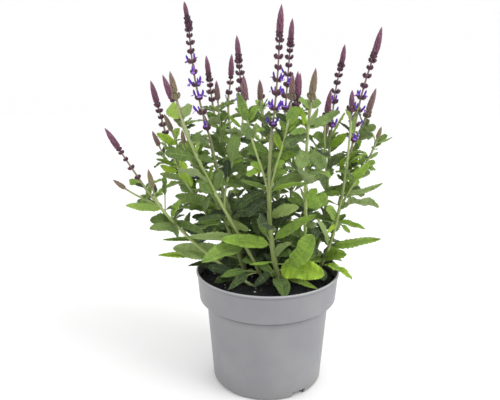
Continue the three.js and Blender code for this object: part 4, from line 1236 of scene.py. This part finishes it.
flowerShape = {
    "hood": ((0.3, 0.6), (0.48, 0.9), (0.66, 1.15), (0.84, 0.9), (1.0, 0.35)),  # place along, girth
    "start": 0.45, "narrow": 0.72,
    "lip": (0.12, 0.2, 0.3, 0.62, 1.0, 0.95, 0.62), "notch": 0.14,  # its width from row to row
    # length, girth, heading, rise, bend and root
    "hoodArc": (11.4, 1.35, 0, 16, -84, (0.0, 0, 0)), "lipArc": (5.6, 5.0, 0, 14, 70, (4.2, 0, 2.3)),
    "open": (0.62, 0.25),  # share of the calyces in flower, in the lowest whorl and in the highest one
    "larger": {"left_tall": 1.15}, "off": 1.6,
}


def modelCorolla():
    # a tube that rises into a narrow hood, and a lower lip that spreads from its mouth
    hood = begin("hood", bpy.ops.mesh.primitive_circle_add, vertices=6, radius=flowerShape["start"],
                 fill_type="NGON", rotation=(0, math.radians(90), 0))
    drawAlong(flowerShape["start"], flowerShape["hood"], flowerShape["narrow"])
    bpy.ops.mesh.merge(type="CENTER")
    leaveEdit()
    endEdit(hood)
    lip = begin("lip", bpy.ops.mesh.primitive_grid_add, x_subdivisions=6, y_subdivisions=4, size=1,
                location=(0.5, 0, 0))
    for row, wide in enumerate(flowerShape["lip"]):
        pick(lip, lambda co: abs(co.x - row / 6) < 0.05)
        resize((1, wide, 1), (row / 6, 0, 0))
    pick(lip, lambda co: co.x > 0.97 and abs(co.y) < 0.05)
    move((-flowerShape["notch"], 0, 0))  # between its two lobes
    pick(lip, lambda co: abs(co.y) < 0.05)
    move((0, 0, -0.06))
    pick(lip, lambda co: co.x > 0.4 and abs(co.y) > 0.22)
    move((0, 0, -0.05))
    finishModifier(lip, "SOLIDIFY", thickness=0.05, offset=0)
    endEdit(lip)
    parts = [copyPiece(hood, alongArc(hood, *flowerShape["hoodArc"]), tone=0.25),
             copyPiece(lip, alongArc(lip, *flowerShape["lipArc"]), tone=0.7)]
    for pattern in (hood, lip):
        bpy.data.objects.remove(pattern)
    return joinPieces("corolla", parts)


def dressFlowers(name, item, pattern, seed):
    # the open flowers of a spike's lower whorls, one piece
    draw = drawer(seed)
    foot, frameAxes, length = spikeFrame(item)
    parts = []
    for rank, (at, size) in enumerate(whorlPlaces(name, item, length)[1][:item["open"]]):
        chance = blend(*flowerShape["open"], rank / item["open"])
        for side, spread in product((0, 180), spikeShape["perSide"]):
            grown = size * (0.92 + 0.26 * draw()) * flowerShape["larger"].get(name, 1)
            tilt = math.radians((draw() - 0.45) * 26)
            heading = math.radians(side + spread * (0.9 + 0.3 * draw())) + whorlTurn(rank)
            if draw() > chance:
                continue
            local = tilted(corners(pattern) * grown, tilt) + (flowerShape["off"] * size, 0, 0)
            local = turned(local, heading) + (0, 0, at + spikeShape["neck"] * size * 0.7)
            parts.append(copyPiece(pattern, (foot + local @ frameAxes) * mm, seed=draw()))
    return bowSpike(name, item, joinPieces("petals_" + name, parts))


pot = {
    "height": 157, "rim": 96, "bandFoot": 114, "bodyTop": 82.2, "bodyFoot": 74.2, "wall": 1.8,
    "channelTop": 8.6, "floorTop": 10.4, "facets": 128, "drainHoles": 6, "drainRadius": 5,
    "drainCircle": 39, "slots": 3, "slotTurn": -57, "slotWidth": 20, "slotHeight": 8.2, "slotDepth": 14,
    "edge": 0.7,  # radius of its edges
    "lip": 3.0,  # how deep the lip is
    "pad": 20,  # radius of the middle of its foot
}


def potProfile():
    rim, wall = pot["rim"], pot["wall"]
    height, bandFoot = pot["height"], pot["bandFoot"]
    outside = [
        (22, pot["channelTop"]), (pot["bodyFoot"] - 5.2, pot["channelTop"]), (pot["bodyFoot"] - 4.8, 0),
        (pot["bodyFoot"] - 3, 0), (pot["bodyFoot"], 4),
        (pot["bodyTop"], bandFoot - 1), (pot["bodyTop"] + 1.8, bandFoot), (rim - 4.2, bandFoot + 5),
        (rim - 1.5, height - pot["lip"] - 1), (rim, height - pot["lip"]), (rim, height - 0.8),
        (rim - 0.8, height),
    ]
    inside = [
        (rim - 2.4, height), (rim - 4.2 - wall, bandFoot + 5.6), (pot["bodyTop"] - wall, bandFoot + 0.6),
        (pot["bodyFoot"] - wall, pot["floorTop"]), (12, pot["floorTop"]),
    ]
    return outside + inside


def addCutter(addPrimitive, heading, reach, height, **settings):
    cx, cy = towards(heading)
    place = (reach * mm * cx, reach * mm * cy, height * mm)
    return begin("cutter", addPrimitive, location=place, **settings)


def modelPot():
    # one wall, drawn ring by ring from the middle of its foot, over the rim and down to its floor
    body = begin("growingPot", bpy.ops.mesh.primitive_circle_add, vertices=pot["facets"],
                 radius=pot["pad"] * mm, fill_type="NGON")
    drawUp((pot["pad"], 0), potProfile())
    bpy.ops.mesh.edge_face_add()
    bpy.ops.mesh.select_all(action="SELECT")
    bpy.ops.mesh.normals_make_consistent(inside=False)
    finishModifier(body, "BEVEL", width=pot["edge"] * mm, segments=3, limit_method="ANGLE",
                   angle_limit=math.radians(24))
    cutters = []
    for i in range(pot["slots"]):
        heading = pot["slotTurn"] + i * 360 / pot["slots"]
        cutters.append(addCutter(
            bpy.ops.mesh.primitive_cube_add, heading, pot["bodyFoot"] - 1.2, (pot["slotHeight"] - 1) / 2,
            size=1, scale=(pot["slotDepth"] * mm, pot["slotWidth"] * mm, (pot["slotHeight"] + 1) * mm),
            rotation=(0, 0, math.radians(heading))))
    for i in range(pot["drainHoles"]):
        cutters.append(addCutter(
            bpy.ops.mesh.primitive_cylinder_add, i * 360 / pot["drainHoles"], pot["drainCircle"], 0,
            vertices=24, radius=pot["drainRadius"] * mm, depth=40 * mm))
    cutter = joinPieces("potCutter", cutters)
    finishModifier(body, "BOOLEAN", object=cutter, operation="DIFFERENCE", solver="EXACT")
    bpy.data.objects.remove(cutter)
    return endEdit(body, 32)


soil = {
    "top": 145, "gap": 1, "lump": 1.1, "rough": 1.0,
    "steps": (2, 5, 9, 14, 20, 27, 35, 43, 51, 59, 67, 75, 81),  # rings of the top, in from its edge
    # crumbs, perlite and bark: how many, which kind for the finish, and how large against a crumb
    "lots": ((420, 0.0, 1), (44, 1.0, 0.8), (34, 0.5, 1)), "bark": 0.5,
    "crumbSize": (0.8, 2.9), "barkSize": (3.2, 8.5),
}


def soilHeight(x, y):
    lumps = math.sin(x * 0.21 + 1) * math.cos(y * 0.17) + math.sin((x + y) * 0.37) * 0.6
    return soil["top"] + soil["lump"] * lumps


def modelCrumb():
    crumb = begin("crumb", bpy.ops.mesh.primitive_ico_sphere_add, subdivisions=1, radius=1)
    bpy.ops.transform.vertex_random(offset=0.32, uniform=1, seed=4)
    leaveEdit()
    return endEdit(crumb)


def modelSoil():
    # the root ball with a lumpy top, and crumbs, perlite and bark chips lying on it
    within = pot["rim"] - 4.6 - pot["wall"] - soil["gap"]
    rings = [(pot["bodyFoot"] - 2.8, pot["floorTop"] + 1), (pot["bodyTop"] - 2.8, pot["bandFoot"]),
             (within, pot["bandFoot"] + 12), (within + 1.2, soil["top"] - 2)]
    ball = begin("pottingMix", bpy.ops.mesh.primitive_circle_add, vertices=72, radius=rings[0][0] * mm,
                 fill_type="NGON", location=(0, 0, rings[0][1] * mm))
    drawUp(rings[0], rings[1:] + [(within + 1.2 - step, soil["top"]) for step in soil["steps"]])
    bpy.ops.mesh.edge_face_add()
    pick(ball, lambda co: co.z > (soil["top"] - 1) * mm)
    bpy.ops.transform.vertex_random(offset=soil["rough"] * mm, uniform=1, seed=9)
    leaveEdit()
    places = corners(ball)
    for place in places:
        if place[2] > (soil["top"] - 2.5) * mm and math.hypot(place[0], place[1]) < within * mm:
            place[2] += (soilHeight(place[0] / mm, place[1] / mm) - soil["top"]) * mm
    ball.data.vertices.foreach_set("co", places.ravel())
    endEdit(ball, 60)
    fillAttribute(ball, "kind", 0.0)
    parts = [ball]
    crumb, draw = modelCrumb(), drawer(5)
    for count, kind, share in soil["lots"]:
        for _ in range(count):
            radius = math.sqrt(draw()) * (within - 3)
            heading = draw() * math.tau
            x, y = radius * math.cos(heading), radius * math.sin(heading)
            size = blend(*soil["crumbSize"], draw() ** 2) * share
            scale = np.array([1, 0.6 + 0.4 * draw(), 0.55 + 0.3 * draw()]) * size
            if kind == soil["bark"]:
                scale = np.array([blend(*soil["barkSize"], draw()), 1.1 + draw() * 1.2, 0.5 + 0.5 * draw()])
            spin, lean = draw() * math.tau, (draw() - 0.5) * 0.7
            local = turned(tilted(corners(crumb) * scale, lean), spin)
            local = local + (x, y, soilHeight(x, y) + size * 0.25)
            parts.append(copyPiece(crumb, local * mm, kind=kind, seed=draw()))
    bpy.data.objects.remove(crumb)
    return joinPieces("pottingMix", parts)


# All colours are as they show on a screen, the ramps' stops with their place before them.
leafPaint = {
    "upper": ((0.0, 44, 62, 30), (0.3, 90, 116, 50), (0.5, 118, 148, 60), (0.7, 142, 178, 60),
              (0.88, 170, 206, 60), (1.0, 188, 206, 78)),
    "under": (156, 172, 116), "bloom": (154, 174, 110), "vein": (178, 196, 118), "edge": (176, 196, 104),
    "stem": ((0.0, 142, 156, 96), (0.55, 160, 176, 106), (0.9, 160, 170, 116), (1.0, 148, 136, 118)),
    "stalk": (176, 192, 126),
}


def leafFinish():
    leafy = Finish("foliage", Sheen_Weight=0.1, Sheen_Roughness=0.5, Specular_IOR_Level=0.4)
    flat = leafy.node("TexCoord", output=2)
    along, across = leafy.axis(flat, 0), leafy.axis(flat, 1)
    isLeaf = leafy.attribute("leaf")
    off = (across - 0.5).maths("ABSOLUTE") * 2
    wave = (along * leafy.attribute("pairs") * math.tau).maths("COSINE")
    patches, mottle = leafy.noise(70, 2), leafy.noise(380, 3)
    sideVeins = wave.between(0.8, 1.0) * (1 - off.between(0.6, 0.95)) * patches.between(0.35, 0.6)
    cells = {"Vector": leafy.place, "Scale": 620.0}
    wrinkle = leafy.node("TexVoronoi", {"feature": "DISTANCE_TO_EDGE"}, cells)
    # painted shade: the tone is darkened along the grooves of the wrinkles
    net = 1 - wrinkle.between(0.0, 0.16)
    vein = (1 - off.between(0.015, 0.08) + sideVeins * 0.5) * isLeaf
    tone = leafy.attribute("tone") + (patches - 0.5) * 0.36 + (mottle - 0.5) * 0.3 - net * 0.08
    tone = tone + vein * 0.14 + off.between(0.85, 1.0) * 0.1
    upper = leafy.mix(leafy.attribute("bloom"), leafy.ramp(tone, leafPaint["upper"]), leafPaint["bloom"])
    upper = leafy.mix(vein * 0.24, upper, leafPaint["vein"])
    lower = leafy.mix(0.3, leafPaint["under"], upper)
    lower = leafy.mix(vein * 0.4, lower, leafPaint["edge"])
    blade = leafy.mix(leafy.attribute("under") * 0.9, upper, lower)
    blade = leafy.mix((1 - along.between(0.12, 0.2)) * 0.7, blade, leafPaint["stalk"])
    stem = leafy.ramp(leafy.attribute("along") + (mottle - 0.5) * 0.16, leafPaint["stem"])
    leafy.bump((wrinkle.between(0.0, 0.35) * 0.7 - vein * 0.9) * isLeaf + mottle * 0.4, 0.0007, 0.6)
    return leafy.paint(leafy.mix(isLeaf, stem, blade), 0.42 + mottle * 0.25)


spikePaint = {
    "tones": ((0.0, 70, 38, 56), (0.25, 94, 54, 74), (0.42, 116, 72, 94), (0.6, 136, 88, 114),
              (0.8, 166, 124, 148)),
    "olive": (142, 138, 92),
    "bare": ((0.0, 150, 152, 110), (0.5, 144, 122, 112), (1.0, 120, 80, 96)),
}


def spikeFinish():
    budded = Finish("spikes", Sheen_Weight=0.3, Sheen_Roughness=0.45, Specular_IOR_Level=0.3)
    hairs, patches = budded.noise(2600, 2), budded.noise(180, 2)
    height = budded.attribute("height")
    tone = budded.attribute("tone") + (patches - 0.5) * 0.3 + (hairs - 0.5) * 0.2
    tone = tone + (height - 0.8) * height.between(0.45, 0.5) * 0.5
    bare = budded.ramp(budded.attribute("along") + (hairs - 0.5) * 0.2, spikePaint["bare"])
    colour = budded.mix(budded.attribute("bare"), budded.ramp(tone, spikePaint["tones"]), bare)
    olive = budded.attribute("green") * (1 - height.between(0.75, 1.1) * 0.8)
    budded.bump(hairs, 0.0004, 0.6)
    return budded.paint(budded.mix(olive, colour, spikePaint["olive"]), 0.6 + hairs * 0.2)


petalTones = ((0.0, 76, 36, 150), (0.4, 100, 50, 182), (0.75, 134, 84, 204), (1.0, 176, 140, 228))


def petalFinish():
    petal = Finish("petals", Sheen_Weight=0.2, Sheen_Roughness=0.4, Specular_IOR_Level=0.3)
    streaks = petal.noise(700, 3)
    tone = petal.attribute("tone") + (streaks - 0.5) * 0.5 + petal.attribute("seed") * 0.2
    petal.bump(streaks, 0.0003, 0.5)
    return petal.paint(petal.ramp(tone, petalTones), 0.5 + streaks * 0.15)


# the darkest colour here is painted shade, for the crease under the band and the line under the lip
potPaint = {"body": (134, 134, 138), "worn": (142, 142, 144), "dust": (124, 121, 115), "paintedShade": (84, 84, 86),
            # the last colour is a painted highlight along the top edge of the rim
            "lip": (168, 168, 172)}


def lineRound(up, height, reach):
    # 1 at a height, 0 beyond its reach
    return 1 - (up - height).maths("ABSOLUTE").between(reach * 0.3, reach)


def plasticFinish():
    plastic = Finish("potPlastic", Specular_IOR_Level=0.45)
    grain, cloud = plastic.noise(1600, 2), plastic.noise(18, 3)
    scuff = plastic.node("Mapping", {}, {"Vector": plastic.place, "Scale": (300, 300, 14)})
    scratches = plastic.noise(1, 3, vector=scuff).between(0.58, 0.75)
    up = plastic.axis(plastic.place, 2)
    colour = plastic.mix(cloud.between(0.35, 0.7), potPaint["body"], potPaint["worn"])
    colour = plastic.mix((1 - up.between(0.0, 0.03)) * cloud * 0.5, colour, potPaint["dust"])
    # painted shade: a dark line in the crease under the band, inside a broader faint shade
    paintedCreaseShade = lineRound(up, (pot["bandFoot"] - 1.2) * mm, 2.2 * mm) * 0.5
    paintedCreaseShade = paintedCreaseShade + lineRound(up, (pot["bandFoot"] - 2.5) * mm, 6.0 * mm) * 0.12
    # painted shade: a dark line under the lip
    paintedShadeUnderLip = lineRound(up, (pot["height"] - pot["lip"] - 1.2) * mm, 1.3 * mm)
    colour = plastic.mix(paintedCreaseShade + paintedShadeUnderLip * 0.4, colour, potPaint["paintedShade"])
    # painted highlight: a light line along the top edge of the rim
    paintedRimHighlight = up.between((pot["height"] - 1.6) * mm, (pot["height"] - 0.9) * mm)
    colour = plastic.mix(paintedRimHighlight, colour, potPaint["lip"])
    plastic.bump(grain * 0.6 + scratches * 0.25, 0.00012, 0.5)
    return plastic.paint(colour, 0.42 + grain * 0.1 + scratches * 0.08)


soilPaint = {"peat": ((0.0, 12, 12, 16), (0.5, 30, 31, 35), (1.0, 56, 54, 52)), "bark": (86, 62, 44),
             "perlite": (196, 192, 182)}


def soilFinish():
    peat = Finish("pottingMix", Specular_IOR_Level=0.3)
    fibre, damp = peat.noise(700, 5, 0.7), peat.noise(40, 3)
    kind = peat.attribute("kind")
    colour = peat.ramp(fibre + (peat.attribute("seed") - 0.5) * 0.2, soilPaint["peat"])
    colour = peat.mix(kind.between(0.3, 0.5) * (0.4 + fibre * 0.6), colour, soilPaint["bark"])
    colour = peat.mix(kind.between(0.7, 0.9), colour, soilPaint["perlite"])
    peat.bump(fibre + damp * 0.6, 0.0018, 0.8)
    return peat.paint(colour, 0.72 + damp * 0.25)


studio = {
    "floorRadius": 3.2, "curve": 1.6, "floor": (253, 253, 253), "sky": 0.92,
    # each lamp's place, size and watts
    "lamps": (((1.9, -1.0, 2.0), 1.5, 35), ((-1.8, -1.6, 2.0), 1.8, 5), ((0.2, 1.8, 2.4), 1.6, 7)),
    "lampsLookAt": (0, 0, 0.25),
}


def makeStudio():
    # a pale floor whose edge curves up all round
    radius, curve = studio["floorRadius"], studio["curve"]
    dish = begin("studioFloor", bpy.ops.mesh.primitive_circle_add, vertices=96, radius=radius,
                 fill_type="NGON")
    leans = [math.radians(step * 90 / 12) for step in range(1, 13)]
    rings = [(radius + curve * math.sin(lean), curve * (1 - math.cos(lean))) for lean in leans]
    drawUp((radius, 0.0), rings, 1)
    bpy.ops.mesh.delete(type="ONLY_FACE")  # the lid that was drawn up with the edge
    endEdit(dish)
    paper = Finish("paper", Specular_IOR_Level=0.1)
    dish.data.materials.append(paper.paint(shade(*studio["floor"]) + (1,), 0.85 + paper.noise(300, 3) * 0.1))
    for place, size, watts in studio["lamps"]:
        bpy.ops.object.light_add(type="AREA", location=place)
        lamp = bpy.context.object
        lamp.data.size = size
        lamp.data.energy = watts
        away = np.array(place) - studio["lampsLookAt"]
        lean = math.acos(away[2] / np.linalg.norm(away))
        lamp.rotation_euler = (lean, 0, math.atan2(away[1], away[0]) + math.pi / 2)
    world = bpy.data.worlds.new("sky")
    world.use_nodes = True
    sky = world.node_tree.nodes["Background"]
    sky.inputs["Color"].default_value = (1, 1, 1, 1)
    sky.inputs["Strength"].default_value = studio["sky"]
    bpy.context.scene.world = world
    bpy.context.scene.view_settings.view_transform = "Standard"


def wear(piece, material, slot, *nodes):
    # gives a piece its finish, fixes it to the root body and hides the solids that it stands for
    piece.data.materials.clear()
    piece.data.materials.append(material)
    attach(piece, "root")
    if nodes:
        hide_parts(*nodes)


def buildPlant():
    lines, crowd, leaves = planPlant()
    leaves += fillPlant(lines, crowd, leaves)
    report(f"planned {len(leaves)} leaves")
    profile = stemProfile()
    leafPatterns = {kind: modelLeaf(kind) for kind in leafKinds}
    calyx, bud, corolla = modelCalyx(), modelBud(), modelCorolla()
    spikePatterns = {"whorl": modelWhorl(calyx, leafPatterns["small"]), "budRing": modelBudRing(bud)}
    report("patterns")
    foliage, spikes, petals = leafFinish(), spikeFinish(), petalFinish()
    for name in stems:
        wear(dressStem(name, lines, leaves, leafPatterns, profile), foliage, "foliage", "stem_" + name)
    report("stems and leaves")
    for i, (name, item) in enumerate(everyStem.items()):
        wear(dressSpike(name, item, spikePatterns, profile, i * 5 + 2), spikes, "spikes", "spike_" + name)
        if item["open"]:
            wear(dressFlowers(name, item, corolla, i * 9 + 4), petals, "petals")
    report("spikes")
    for pattern in (profile, calyx, bud, corolla, *leafPatterns.values(), *spikePatterns.values()):
        bpy.data.objects.remove(pattern)


setCamera()
makeStudio()
wear(modelPot(), plasticFinish(), "pot", "pot")
wear(modelSoil(), soilFinish(), "soil", "soil")
report("pot and soil")
buildPlant()

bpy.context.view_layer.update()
report("done")
